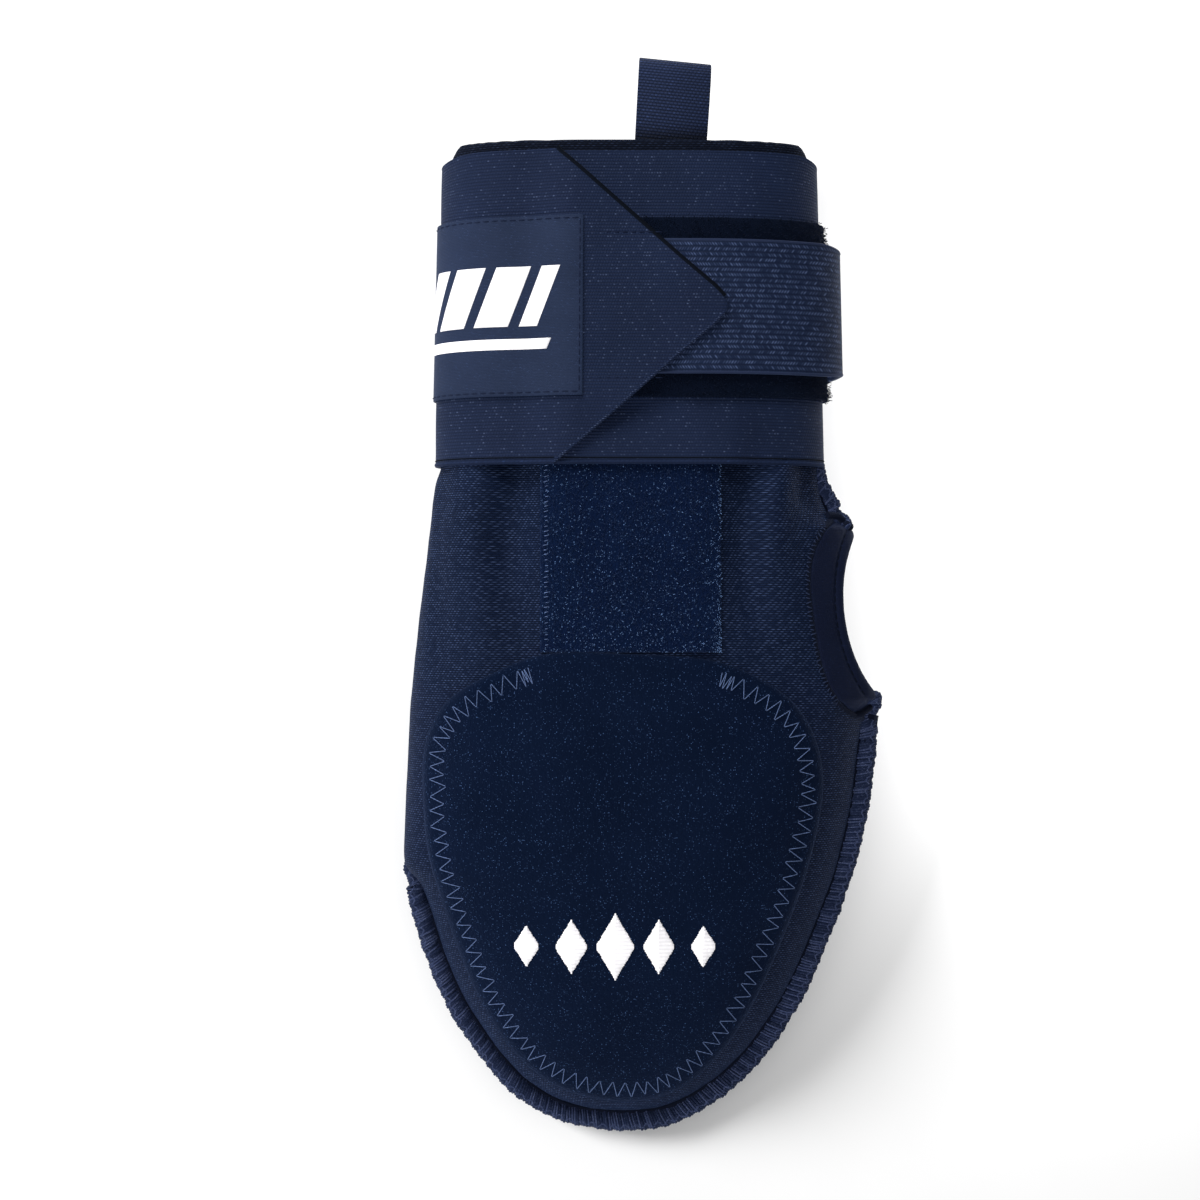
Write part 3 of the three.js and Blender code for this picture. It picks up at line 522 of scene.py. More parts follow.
def with_modifiers(name, mesh, modifiers):
    """The mesh after modifiers, each given as its kind and its settings."""
    carrier = bpy.data.objects.new(name, mesh)
    bpy.context.scene.collection.objects.link(carrier)
    for kind, settings in modifiers:
        modifier = carrier.modifiers.new(kind, kind)
        for key, value in settings.items():
            setattr(modifier, key, value)
    graph = bpy.context.evaluated_depsgraph_get()
    made = bpy.data.meshes.new_from_object(carrier.evaluated_get(graph))
    made.name = name
    bpy.data.objects.remove(carrier)
    return made


def merged_copy(node):
    """A CAD node's triangles, joined into one closed shape."""
    shape = bmesh.new()
    shape.from_mesh(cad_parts[node].data)
    bmesh.ops.remove_doubles(shape, verts=shape.verts, dist=0.000002)
    return shape


def map_onto(shape, place_of):
    """Gives the shape a UV map. Each vertex has one place on it."""
    layer = shape.loops.layers.uv.new("UVMap")
    for face in shape.faces:
        for corner in face.loops:
            corner[layer].uv = place_of(corner.vert)


def smooth(shape, verts, rounds, flat=False):
    """Evens a shape out, up and down only where flat."""
    sideways = not flat
    for _ in range(rounds):
        bmesh.ops.smooth_vert(shape, verts=verts, factor=0.5, use_axis_x=sideways, use_axis_y=sideways,
                              use_axis_z=True)


class Surface:
    """A shape that others are laid on, felt from straight above."""

    ABOVE = 0.2
    RIDGE_STEP = 0.0003

    def __init__(self, mesh):
        shape = bmesh.new()
        shape.from_mesh(mesh)
        self.tree = BVHTree.FromBMesh(shape)
        shape.free()

    def drop(self, x, y):
        """The highest point at a place in plan, or None."""
        return self.tree.ray_cast(Vector((x, y, self.ABOVE)), -UP)[0]

    def reach(self, centre, angle, far):
        """How far from a centre the shape reaches in plan."""
        near = 0.0
        for _ in range(20):
            middle = (near + far) / 2
            if self.drop(centre.x + middle * math.cos(angle), centre.y + middle * math.sin(angle)):
                near = middle
            else:
                far = middle
        return near

    def ridge(self, centre, angle, near, far):
        """The top of the middle of a ridge that a line in plan crosses, or None."""
        hits = []
        for index in range(int((far - near) / self.RIDGE_STEP)):
            distance = near + index * self.RIDGE_STEP
            found = self.drop(centre.x + distance * math.cos(angle), centre.y + distance * math.sin(angle))
            if found:
                hits.append((distance, found))
        if not hits:
            return None
        middle = (hits[0][0] + hits[-1][0]) / 2
        return min(hits, key=lambda hit: abs(hit[0] - middle))[1]


def resampled(path, spacing):
    """The path's points at even distances along it."""
    lengths = [0.0]
    for first, second in zip(path, path[1:]):
        lengths.append(lengths[-1] + (second - first).length)
    count = max(1, round(lengths[-1] / spacing))
    result = []
    piece = 0
    for index in range(count + 1):
        target = lengths[-1] * index / count
        while piece + 2 < len(lengths) and lengths[piece + 1] < target:
            piece += 1
        run = lengths[piece + 1] - lengths[piece]
        share = (target - lengths[piece]) / run if run else 0.0
        result.append(path[piece].lerp(path[piece + 1], share))
    return result


def rounded(path, rounds):
    """The path with its kinks averaged out."""
    for _ in range(rounds):
        inner = [(a + 2 * b + c) / 4 for a, b, c in zip(path, path[1:], path[2:])]
        path = [path[0], *inner, path[-1]]
    return path


def threads(name, paths, radius, material, sides=1):
    """Many threads as one piece: each path is a tube."""
    curve = bpy.data.curves.new(name, "CURVE")
    curve.dimensions = "3D"
    curve.bevel_depth = radius
    curve.bevel_resolution = sides
    curve.use_fill_caps = True
    for path in paths:
        spline = curve.splines.new("POLY")
        spline.points.add(len(path) - 1)
        spline.points.foreach_set("co", [value for point in path for value in (*point, 1.0)])
        spline.use_smooth = True
    mesh = with_modifiers(name, curve, [])
    bpy.data.curves.remove(curve)
    return show(name, mesh, material)


# A stitch's thread dives in at both holes and bows out between them: shares of its length and of its rise
STITCH = ((0.0, -1.2), (0.12, 0.5), (0.5, 1.0), (0.88, 0.5), (1.0, -1.2))


def stitch(start, end, outward, rise):
    """One thread between two holes."""
    return [start.lerp(end, share) + outward * rise * height for share, height in STITCH]


def row_of_stitches(path, pitch, rise):
    """Straight stitches along a path, each three quarters of the pitch long."""
    places = resampled(path, pitch / 4)
    return [stitch(places[index], places[index + 3], UP, rise) for index in range(0, len(places) - 4, 4)]


# The cuff and the bands round it


def profile(share, flat, squareness):
    """The height of the cuff's section, 1 over its flat share and 0 at its side."""
    bent = max(0.0, (share - flat) / (1 - flat))
    return max(0.0, 1 - bent**squareness) ** (1 / squareness)


class Cuff:
    """The straight cuff. A place on it is how far round it lies, its Y and its distance from the pouch."""

    TABLE_STEPS = 600
    LENGTH_STEPS = 400

    # The flat share and the squareness of the section's halves
    FRONT = (0.25, 2.3)
    BACK = (0.5, 2.0)

    # From the middle to the tab's tip and to the label's end, as shares of the cuff's width
    TIP_PLACE = 0.246
    LABEL_END_PLACE = -0.153

    # How sharp the tab's round tip is, and how far down the cuff its corners droop
    TIP_SHARPNESS = 12
    DROOP_RUN = 0.016

    # Over these lengths the strap's edge comes down beside the front strip
    TUCK_NEAR = 0.002
    TUCK_FAR = 0.012
    TUCK_SPARE = 0.001

    # The second turn rises this share of a side before the edge under it, and this far past the pile
    LAP_LEAD = 0.02
    CLIMB_LEAD = 0.01
    TAPE_MARGIN = 0.002

    def __init__(self, sizes):
        self.sizes = sizes
        strap_low, strap_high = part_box("wrist_strap")
        self.low, self.high = strap_low.y, strap_high.y
        self.middle = (self.low + self.high) / 2
        self.start = self.low - DRAPED_GAP
        self.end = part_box("neoprene_shell")[1].y
        self.layer = GAP + sizes.strap_thickness
        self.over_tape = self.layer + GAP + sizes.tape_thickness
        self.over_closure = self.over_tape + GAP + sizes.closure_thickness
        # The bands pass under the cuff too, so the pouch lies over them
        self.lift = self.over_closure
        self.table = [0.0]
        for index in range(self.TABLE_STEPS):
            first = self.skin(2 * index / self.TABLE_STEPS, self.middle)
            second = self.skin(2 * (index + 1) / self.TABLE_STEPS, self.middle)
            self.table.append(self.table[-1] + (second - first).length)

    def skin(self, around, y):
        share = (y - self.start) / (self.end - self.start)
        half = self.sizes.cuff_width * (1 - self.sizes.cuff_taper * share) / 2
        turn = around % 2
        across = 2 * turn - 1 if turn <= 1 else 3 - 2 * turn
        swing = math.sin(across * math.pi / 2)
        rise = self.sizes.cuff_height / 2
        shape = profile(abs(swing), *self.FRONT) if turn <= 1 else -profile(abs(swing), *self.BACK)
        return Vector((self.sizes.cuff_centre + half * swing, y, self.lift + rise + rise * shape))

    def outward(self, around, y):
        step = 0.004
        tangent = self.skin(around + step, y) - self.skin(around - step, y)
        return Vector((-tangent.z, 0, tangent.x)).normalized()

    def point(self, around, y, offset):
        return self.skin(around, y) + self.outward(around, y) * offset

    def arc(self, around):
        """The length round the cuff to a place."""
        turns, part = divmod(around, 2)
        place = part / 2 * self.TABLE_STEPS
        index = min(int(place), self.TABLE_STEPS - 1)
        return turns * self.table[-1] + lerp(self.table[index], self.table[index + 1], place - index)

    def around(self, arc):
        """The place at a length round the cuff."""
        turns, part = divmod(arc, self.table[-1])
        low, high = 0, self.TABLE_STEPS
        while high - low > 1:
            middle = (low + high) // 2
            if self.table[middle] <= part:
                low = middle
            else:
                high = middle
        share = (part - self.table[low]) / (self.table[high] - self.table[low])
        return 2 * turns + 2 * (low + share) / self.TABLE_STEPS

    def length(self, ends, offset):
        """The true length of a band at its distance from the pouch."""
        places = [lerp(*ends, index / self.LENGTH_STEPS) for index in range(self.LENGTH_STEPS + 1)]
        points = self.line(places, lambda place: self.middle, offset)
        return sum((second - first).length for first, second in zip(points, points[1:]))

    def line(self, places, edge, offset):
        """A path through places round the cuff. Its edge gives its Y, its offset how far out it lies."""
        result = []
        for place in places:
            y = edge(place)
            result.append(self.point(place, y, offset(place, y)))
        return result

    def over(self, x):
        """The place on the front at a sideways place."""
        return 0.5 + math.asin((x - self.sizes.cuff_centre) / (self.sizes.cuff_width / 2)) / math.pi

    def tuck(self, around, y):
        """How far the strap's lower edge rides up over the strip that goes under it."""
        if around % 2 > 1:
            return 0.0
        low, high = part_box("loop_strip")
        aside = abs(self.skin(around, y).x - (low.x + high.x) / 2) - (high.x - low.x) / 2
        beside = 1 - smooth_step(self.TUCK_NEAR, self.TUCK_FAR, aside)
        tuck = self.sizes.strip_tuck
        above = 1 - min(max((y - self.low - tuck - self.TUCK_SPARE) / tuck, 0), 1)
        return (DRAPED_GAP + self.sizes.tape_thickness) * beside * above

    def strap(self, around, y):
        """How far out the strap lies: its second turn climbs over the tape and the closure strap."""
        if around <= 2:
            return GAP + self.tuck(around, y)
        lap = smooth_step(LAP_START, 2 + STRAP_START - self.LAP_LEAD, around)
        climb = smooth_step(2 + STRAP_START, 2 + TAPE_START - self.CLIMB_LEAD, around)
        tape_edge = self.sizes.tape_width / 2 + self.TAPE_MARGIN
        edge = min(max((abs(y - self.middle) - tape_edge) / (self.high - self.middle - tape_edge), 0), 1)
        full = lerp(self.over_closure + GAP, self.over_tape + GAP, edge)
        return lerp(lerp(GAP, self.layer + GAP, lap), full, climb)

    def tab_half(self, around):
        """Half the strap's width, which runs to a point at the tab."""
        sizes = self.sizes
        shoulder = self.tip_x() - sizes.tab_length
        if around <= 2 + self.over(shoulder):
            return (self.high - self.low) / 2
        share = min((self.skin(around, self.middle).x - shoulder) / sizes.tab_length, 1)
        tip = sizes.tab_tip * math.sqrt(min(1.0, (1.0001 - share) * self.TIP_SHARPNESS))
        return lerp(self.high - self.low, tip, share) / 2

    def corner(self, around, y):
        """How far the cuff's top edge droops where it turns to the back."""
        turn = around % 2
        left = 1 - smooth_step(0, LEFT_DROOP_REACH, min(turn, 2 - turn))
        right = 1 - smooth_step(0, RIGHT_DROOP_REACH, abs(turn - 1))
        droop = LEFT_DROOP * left + RIGHT_DROOP * right
        return droop * smooth_step(self.high - self.DROOP_RUN, self.high, y)

    def tip_x(self):
        return self.sizes.cuff_centre + self.TIP_PLACE * self.sizes.cuff_width

    def label_end(self):
        return 2 + self.over(self.LABEL_END_PLACE * self.sizes.cuff_width)

    def on_strap(self, around, y):
        return self.strap(around, y) + self.sizes.strap_thickness

    def on_label(self, around, y):
        return self.on_strap(around, y) + GAP + self.sizes.label_thickness


BAND_SPACING = 0.0014


def band(name, cuff, ends, half, offset, thickness):
    """A band round the cuff between two places, with its run and its Y as its map."""
    first, last = (cuff.arc(place) for place in ends)
    shape = bmesh.new()
    columns = round((last - first) / BAND_SPACING)
    rows = round(2 * half(ends[0]) / BAND_SPACING)
    bmesh.ops.create_grid(shape, x_segments=columns, y_segments=rows, size=0.5)
    places = {}
    for vert in shape.verts:
        arc = lerp(first, last, vert.co.x + 0.5)
        around = cuff.around(arc)
        y = cuff.middle + 2 * half(around) * vert.co.y
        places[vert] = (arc, y)
        vert.co = cuff.point(around, y, offset(around, y) + thickness)
        vert.co.y -= cuff.corner(around, y)
    map_onto(shape, places.get)
    wall = {"thickness": thickness, "offset": -1.0, "use_even_offset": True}
    edge = rounded_edge(thickness * 0.3, 50)
    return with_modifiers(name, as_mesh(name, shape), [("SOLIDIFY", wall), ("BEVEL", edge)])


def rounded_edge(width, least_angle):
    """A bevel for the edges that are sharper than an angle in degrees."""
    return {"width": width, "segments": 2, "limit_method": "ANGLE", "angle_limit": math.radians(least_angle)}


# The strap lies loose from here round the cuff on, and its second turn flutters this much
LOOSE_START = 1.7
LOOSE_END = 2.05
FLUTTER = 0.00045
FLUTTER_SCALE = (60, 45)

# The cords along the strap's edges: which edge, how far from it along Y, how deep they lie, how thick they
# are, their finish and how round they are. The groove cord is painted shade in the groove above the lower
# selvedge, the black cord beside the tab's upper edge is a painted shadow, and the tab's lower edge carries
# painted highlights.
STRAP_CORDS = (
    ("wrist_strap_selvedge", "low", 0.0006, 0.0004, 0.0007, selvedge_thread, 2),
    ("wrist_strap_edge", "high", -0.0003, 0.0003, 0.0004, selvedge_thread, 2),
    ("wrist_strap_groove_painted_shade", "low", 0.0017, 0.00005, 0.00022, painted_shade_black, 1),
    ("tab_edge_painted_shadow", "tab high", 0.0004, 0.0008, 0.0009, painted_shade_black, 2),
    ("tab_edge_painted_highlight", "tab low", 0.0003, 0.0003, 0.0005, edge_painted_highlight, 2),
)


def make_wrist_strap(sizes):
    cuff = Cuff(sizes)
    thickness = sizes.strap_thickness

    def offset(around, y):
        flutter = noise.noise(Vector((cuff.arc(around) * FLUTTER_SCALE[0], y * FLUTTER_SCALE[1], 3.0)))
        loose = smooth_step(LOOSE_START, LOOSE_END, around)
        return cuff.strap(around, y) + FLUTTER * loose * max(0.0, flutter + 0.25)

    ends = (STRAP_START, 2 + cuff.over(cuff.tip_x()))
    mesh = band("wrist_strap_elastic", cuff, ends, cuff.tab_half, offset, thickness)
    strap = show("wrist_strap_elastic", mesh, finish(ribbed_elastic), ["wrist_strap"])
    cuff.length(ends, offset)
    shoulder = 2 + cuff.over(cuff.tip_x() - sizes.tab_length)
    steps = 260
    along_strap = [lerp(STRAP_START, shoulder, index / steps) for index in range(steps + 1)]
    steps = 60
    along_tab = [lerp(shoulder, ends[1], index / steps) for index in range(steps)]
    edges = {
        "low": (along_strap, lambda place: cuff.low),
        "high": (along_strap, lambda place: cuff.high),
        "tab low": (along_tab, lambda place: cuff.middle - cuff.tab_half(place)),
        "tab high": (along_tab, lambda place: cuff.middle + cuff.tab_half(place)),
    }
    for name, edge, aside, sunk, radius, make, sides in STRAP_CORDS:
        path = []
        places, edge_y = edges[edge]
        for place in places:
            y = edge_y(place) + aside
            point = cuff.point(place, y, offset(place, y) + thickness - sunk)
            point.y -= cuff.corner(place, y)
            path.append(point)
        threads(name, [path], radius, finish(make), sides)


# The ground cloth of a pile tape is this much thinner than the tape with its pile
PILE_DEPTH = 0.0003

# The fur on the loop band: its fibres, how deep they are rooted, and the height over the floor above which
# they grow, so that none reaches into the floor
FUR_COUNT = 3600
FUR_LENGTH = 0.0011
FUR_RADIUS = 0.00009
FUR_ROOT = 0.0005
FUR_LOWEST = 0.007


def make_loop_band(sizes):
    cuff = Cuff(sizes)
    ends = (TAPE_START, TAPE_END)

    def offset(around, y):
        return cuff.layer + GAP

    def half(around):
        return sizes.tape_width / 2

    mesh = band("strap_loop_band", cuff, ends, half, offset, sizes.tape_thickness - PILE_DEPTH)
    tape = show("strap_loop_band", mesh, finish(dark_fur), ["strap_loop_tape"])
    length = cuff.length(ends, offset) + 2 * sizes.tape_thickness
    chance = random.Random(11)
    paths = []
    low, high = sizes.closure_width / 2 - 0.0006, sizes.tape_width / 2 + 0.0002
    for _ in range(FUR_COUNT):
        around = cuff.around(chance.uniform(cuff.arc(TAPE_START), cuff.arc(TAPE_END)))
        y = cuff.middle + chance.uniform(low, high) * chance.choice((-1, 1))
        base = cuff.point(around, y, cuff.over_tape - FUR_ROOT)
        if base.z > FUR_LOWEST:
            paths.append(fibre(base, cuff.outward(around, y), FUR_LENGTH, chance))
    threads("strap_loop_fur", paths, FUR_RADIUS, finish(pile_fibre_dark), sides=0)


FIBRE_BEND = 0.8


def fibre(base, outward, length, chance):
    """One bent fibre of pile."""
    lean = Vector([chance.uniform(-1, 1) for _ in range(3)]) * FIBRE_BEND
    tall = length * chance.uniform(0.5, 1.15)
    return [base + outward * (tall * share) + lean * (tall * share * share) for share in (0, 0.45, 0.8, 1)]


# The closure strap is drawn in a little where it bends round the side
CLOSURE_NARROWING = 0.0011
CLOSURE_NARROW_REACH = 0.12


def make_closure_strap(sizes):
    cuff = Cuff(sizes)

    def offset(around, y):
        share = min(abs(around - 1) / STAND_OFF_REACH, 1)
        return cuff.over_tape + GAP + sizes.closure_stand_off * math.cos(share * math.pi / 2) ** 2

    def half(around):
        narrowed = 1 - smooth_step(0, CLOSURE_NARROW_REACH, abs(around - 1))
        return sizes.closure_width / 2 - CLOSURE_NARROWING * narrowed

    ends = (CLOSURE_START, CLOSURE_END)
    mesh = band("closure_hook_strap", cuff, ends, half, offset, sizes.closure_thickness)
    strap = show("closure_hook_strap", mesh, finish(herringbone), ["closure_strap"])
    length = cuff.length(ends, offset) + 2 * sizes.closure_thickness
    steps = 180
    places = [lerp(*ends, index / steps) for index in range(steps + 1)]
    inset, sunk, radius = 0.0004, 0.0003, 0.00045
    paths = []
    for side in (-1, 1):
        paths.append(cuff.line(
            places,
            lambda place: cuff.middle + side * (half(place) - inset),
            lambda place, y: offset(place, y) + sizes.closure_thickness - sunk,
        ))
    threads("closure_selvedge", paths, radius, finish(navy_thread), sides=2)


def make_label(sizes):
    cuff = Cuff(sizes)
    ends = (LABEL_START, cuff.label_end())

    def half(around):
        return sizes.label_width / 2

    def offset(around, y):
        return cuff.on_strap(around, y) + GAP

    mesh = band("woven_label", cuff, ends, half, offset, sizes.label_thickness)
    patch = show("woven_label", mesh, finish(woven_label_cloth), ["label_patch"])
    length = cuff.length(ends, offset) + 2 * sizes.label_thickness
    make_label_bars(cuff)


# The bars on the label: where each starts and ends left of the label's edge, its low and high Y from
# the strap's middle, and how far its top leans to the right. Metres.
LABEL_BARS = (
    (0.0490, 0.0440, -0.0057, 0.0112, 0.0062),
    (0.0415, 0.0330, -0.0057, 0.0112, 0.0062),
    (0.0300, 0.0205, -0.0057, 0.0112, 0.0062),
    (0.0175, 0.0125, -0.0057, 0.0112, 0.0062),
    (0.0480, 0.0098, -0.0122, -0.0092, 0.0012),
)
PRINT_HEIGHT = 0.00012
PRINT_THICKNESS = 0.0002


def make_label_bars(cuff):
    edge = cuff.arc(cuff.label_end())
    for number, (left, right, low, high, lean) in enumerate(LABEL_BARS, 1):
        shape = bmesh.new()
        bmesh.ops.create_grid(shape, x_segments=26, y_segments=18, size=0.5)
        places = {}
        for vert in shape.verts:
            up = vert.co.y + 0.5
            arc = edge + lerp(-left, -right, vert.co.x + 0.5) + lean * up
            y = cuff.middle + lerp(low, high, up)
            around = cuff.around(arc)
            places[vert] = (arc, y)
            vert.co = cuff.point(around, y, cuff.on_label(around, y) + PRINT_HEIGHT)
        map_onto(shape, places.get)
        wall = {"thickness": PRINT_THICKNESS, "offset": -1.0}
        name = f"label_bar_{number}"
        mesh = with_modifiers(name, as_mesh(name, shape), [("SOLIDIFY", wall)])
        show(name, mesh, finish(white_print))


# Lock stitches on the strap: from one to the next, where each starts and ends, and how far it stands up
LOCK_PITCH = 0.0025
LOCK_ENDS = (0.14, 0.86)
LOCK_RISE = 0.00016
LABEL_INSET = 0.0010

# The two rows that run on from the label over the tab: their distance from the strap's middle and their ends
TAB_ROW_HALF = 0.0205
TAB_ROW_START = 0.001
TAB_ROW_END = 0.0225


def make_strap_stitching(sizes):
    """Rows of lock stitches on the label and on the pointed tab."""
    cuff = Cuff(sizes)
    label_edge = cuff.arc(cuff.label_end())
    right = label_edge - LABEL_INSET
    left = cuff.arc(LABEL_START) + LABEL_INSET
    half = sizes.label_width / 2 - LABEL_INSET
    rows = []

    def row(first, last, offset):
        first, last = Vector(first), Vector(last)
        count = round((last - first).length / LOCK_PITCH)
        for index in range(count):
            ends = []
            for share in LOCK_ENDS:
                arc, y = first.lerp(last, (index + share) / count)
                around = cuff.around(arc)
                ends.append(cuff.point(around, y, offset(around, y)))
            rows.append(stitch(*ends, cuff.outward(around, y), LOCK_RISE))

    for side in (-1, 1):
        y = cuff.middle + side * half
        row((left, y), (right, y), cuff.on_label)
        y = cuff.middle + side * TAB_ROW_HALF
        row((label_edge + TAB_ROW_START, y), (label_edge + TAB_ROW_END, y), cuff.on_strap)
    row((right, cuff.middle - half), (right, cuff.middle + half), cuff.on_label)
    threads("strap_stitching", rows, sizes.thread_radius, finish(deep_thread))


# The pouch and what lies on its front


def thumb_share(x, y, depth, half, squareness):
    """How far out of the thumb's oval a place in plan lies: 1 on the oval."""
    place = Vector((x, y)) - THUMB_CENTRE
    place.rotate(Matrix.Rotation(-THUMB_TILT, 2))
    return ((abs(place.x) / depth) ** squareness + (abs(place.y) / half) ** squareness) ** (1 / squareness)


def remeshed(node, voxel, rounds, weight=lambda place: 1.0):
    """A node's solid as even small faces, its facets smoothed where weight is 1."""
    mesh = as_mesh(node, merged_copy(node))
    mesh = with_modifiers(node, mesh, [("REMESH", {"mode": "VOXEL", "voxel_size": voxel})])
    shape = bmesh.new()
    shape.from_mesh(mesh)
    places = [vert.co.copy() for vert in shape.verts]
    smooth(shape, shape.verts, rounds)
    for vert, place in zip(shape.verts, places):
        vert.co = place.lerp(vert.co, weight(place))
    return shape


# Soft folds that run down from the wrist strap: sideways place, depth (a ridge's is negative), half width
# and how far down each one runs
GATHERS = (
    (-0.0600, 0.0016, 0.0040, -0.040),
    (-0.0470, -0.0024, 0.0074, -0.060),
    (-0.0360, 0.0034, 0.0070, -0.060),
    (0.0315, 0.0028, 0.0058, -0.040),
    (0.0400, -0.0020, 0.0056, 0.000),
    (0.0480, 0.0022, 0.0040, 0.024),
)


def bell(value, half):
    """1 at zero, and near zero past twice the half width."""
    return math.exp(-((value / half) ** 2))


# The folds fade out between these heights on the pouch's sides, and wander sideways by this much
GATHER_HEIGHTS = (0.024, 0.034)
GATHER_WANDER = 0.005
GATHER_WANDER_SCALE = 22


def gathers(place, strap):
    """How far the folds push the pouch in at a place on its front."""
    near = smooth_step(*GATHER_HEIGHTS, place.z) * smooth_step(strap + 0.012, strap + 0.002, place.y)
    wander = GATHER_WANDER * noise.noise(Vector((0.0, place.y * GATHER_WANDER_SCALE, 4.0)))
    deep = 0.0
    for x, depth, half, end in GATHERS:
        deep += depth * bell(place.x - x + wander, half) * smooth_step(end, strap - 0.006, place.y)
    return deep * near


# The pouch's faces, how much its facets are evened out, and how high its small ripples, its slow drape and
# the droop of the rim's corners are
POUCH_VOXEL = 0.00135
POUCH_ROUNDS = 16
RIPPLE = 0.0009
RIPPLE_SCALE = (95, 22, 20)
DRAPE = 0.00035
DRAPE_SCALE = (28, 20, 25)
RIM_DROOP = 0.007

# Ovals round the thumb hole: how far past the hole's own they lie, and how square they are
THUMB_BORDER = (0.0095, 0.0017)
THUMB_STITCHES = (0.0102, 0.0022)
BORDER_SQUARENESS = 3


def wave(place, scale, start):
    """Smooth noise at a place, with a scale along each axis."""
    return noise.noise(Vector((place.x * scale[0], place.y * scale[1], place.z * scale[2] + start)))


def make_pouch(sizes):
    low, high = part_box("neoprene_shell")
    rim, top = high.y, high.z
    strap, strap_high = (corner.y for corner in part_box("wrist_strap"))

    def weight(place):
        depth, half = sizes.thumb_depth + THUMB_BORDER[0], sizes.thumb_half + THUMB_BORDER[1]
        share = thumb_share(place.x, place.y, depth, half, BORDER_SQUARENESS)
        return smooth_step(rim - 0.002, rim - 0.010, place.y) * smooth_step(1.02, 1.25, share)

    def rippled(place):
        """How far the small ripples below the strap and the slow drape push the cloth out."""
        below = smooth_step(strap - 0.055, strap - 0.008, place.y)
        near_strap = below * smooth_step(strap + 0.006, strap, place.y)
        free = smooth_step(0.004, 0.012, place.z) * smooth_step(strap + 0.01, strap - 0.01, place.y)
        ripple, drape = wave(place, RIPPLE_SCALE, 0.5), wave(place, DRAPE_SCALE, 7)
        return RIPPLE * near_strap * ripple + DRAPE * drape * free

    def round_the_pouch(vert):
        """The place on the cloth: across the front and on down the sides, and along it."""
        side = min(max((vert.co.x - sizes.cuff_centre) / 0.03, -1), 1)
        return (vert.co.x + side * (top - vert.co.z), vert.co.y)

    shape = remeshed("neoprene_shell", POUCH_VOXEL, POUCH_ROUNDS, weight)
    for vert in shape.verts:
        place = vert.co
        aside = abs(place.x - sizes.cuff_centre) / (sizes.cuff_width / 2)
        droop = RIM_DROOP * smooth_step(0.88, 1.0, aside) * smooth_step(strap_high - 0.016, rim, place.y)
        face_out = max(-1.0, min(1.0, vert.normal.z * 6))
        vert.co = place + vert.normal * (rippled(place) - face_out * gathers(place, strap))
        vert.co.y -= droop
        vert.co.z = max(vert.co.z, 0.0)
    map_onto(shape, round_the_pouch)
    mesh = as_mesh("pouch_neoprene", shape)
    pouch = show("pouch_neoprene", mesh, finish(knitted_neoprene), ["neoprene_shell"])


def surface_of(*names):
    """The finished pieces as one surface."""
    shape = bmesh.new()
    for name in names:
        shape.from_mesh(bpy.data.objects[name].data)
    mesh = as_mesh("surface", shape)
    surface = Surface(mesh)
    bpy.data.meshes.remove(mesh)
    return surface


# The band's rolled rim and the groove of its hem: their place out of the thumb's oval, width and height
RIM_ROLL = (1.04, 0.05, 0.00035)
HEM_GROOVE = (1.13, 0.025, 0.00045)
THUMB_VOXEL = 0.0005
THUMB_ROUNDS = 5


def make_thumb_binding(sizes):
    shape = remeshed("thumb_binding", THUMB_VOXEL, THUMB_ROUNDS)
    for vert in shape.verts:
        share = thumb_share(vert.co.x, vert.co.y, sizes.thumb_depth, sizes.thumb_half, 2)
        rim_place, rim_half, rim_height = RIM_ROLL
        hem_place, hem_half, hem_depth = HEM_GROOVE
        rim, groove = bell(share - rim_place, rim_half), bell(share - hem_place, hem_half)
        vert.co += vert.normal * (rim_height * rim - hem_depth * groove)
    mesh = as_mesh("thumb_band", shape)
    show("thumb_band", mesh, finish(stretch_binding), ["thumb_binding"])
    make_thumb_stitches(sizes)


def thumb_oval(depth, half, squareness, first, last, count):
    """Places in plan along a stretch of the thumb's oval."""
    places = []
    for index in range(count + 1):
        angle = lerp(first, last, index / count)
        c, s = math.cos(angle), math.sin(angle)
        size = (abs(c) ** squareness + abs(s) ** squareness) ** (-1 / squareness)
        place = Vector((depth * c * size, half * s * size))
        place.rotate(Matrix.Rotation(THUMB_TILT, 2))
        places.append(place + THUMB_CENTRE)
    return places


# The stitches over the band's border and along its hem, and the dark cord sunk under the border's stitches,
# painted shade in the border's groove
BORDER_PITCH = 0.0013
BORDER_RISE = 0.00028
BORDER_THREAD = 0.00017
HEM_PITCH = 0.0025
HEM_RISE = 0.00012
HEM_THREAD = 0.00013
SHADE_CORD_RADIUS = 0.0011
SHADE_CORD_SUNK = 0.0009

# Where these rows start and end round the thumb's middle, in radians, and the number of places felt
BORDER_RUN = (1.75, 4.5, 120)
HEM_RUN = (1.9, 4.4, 90)


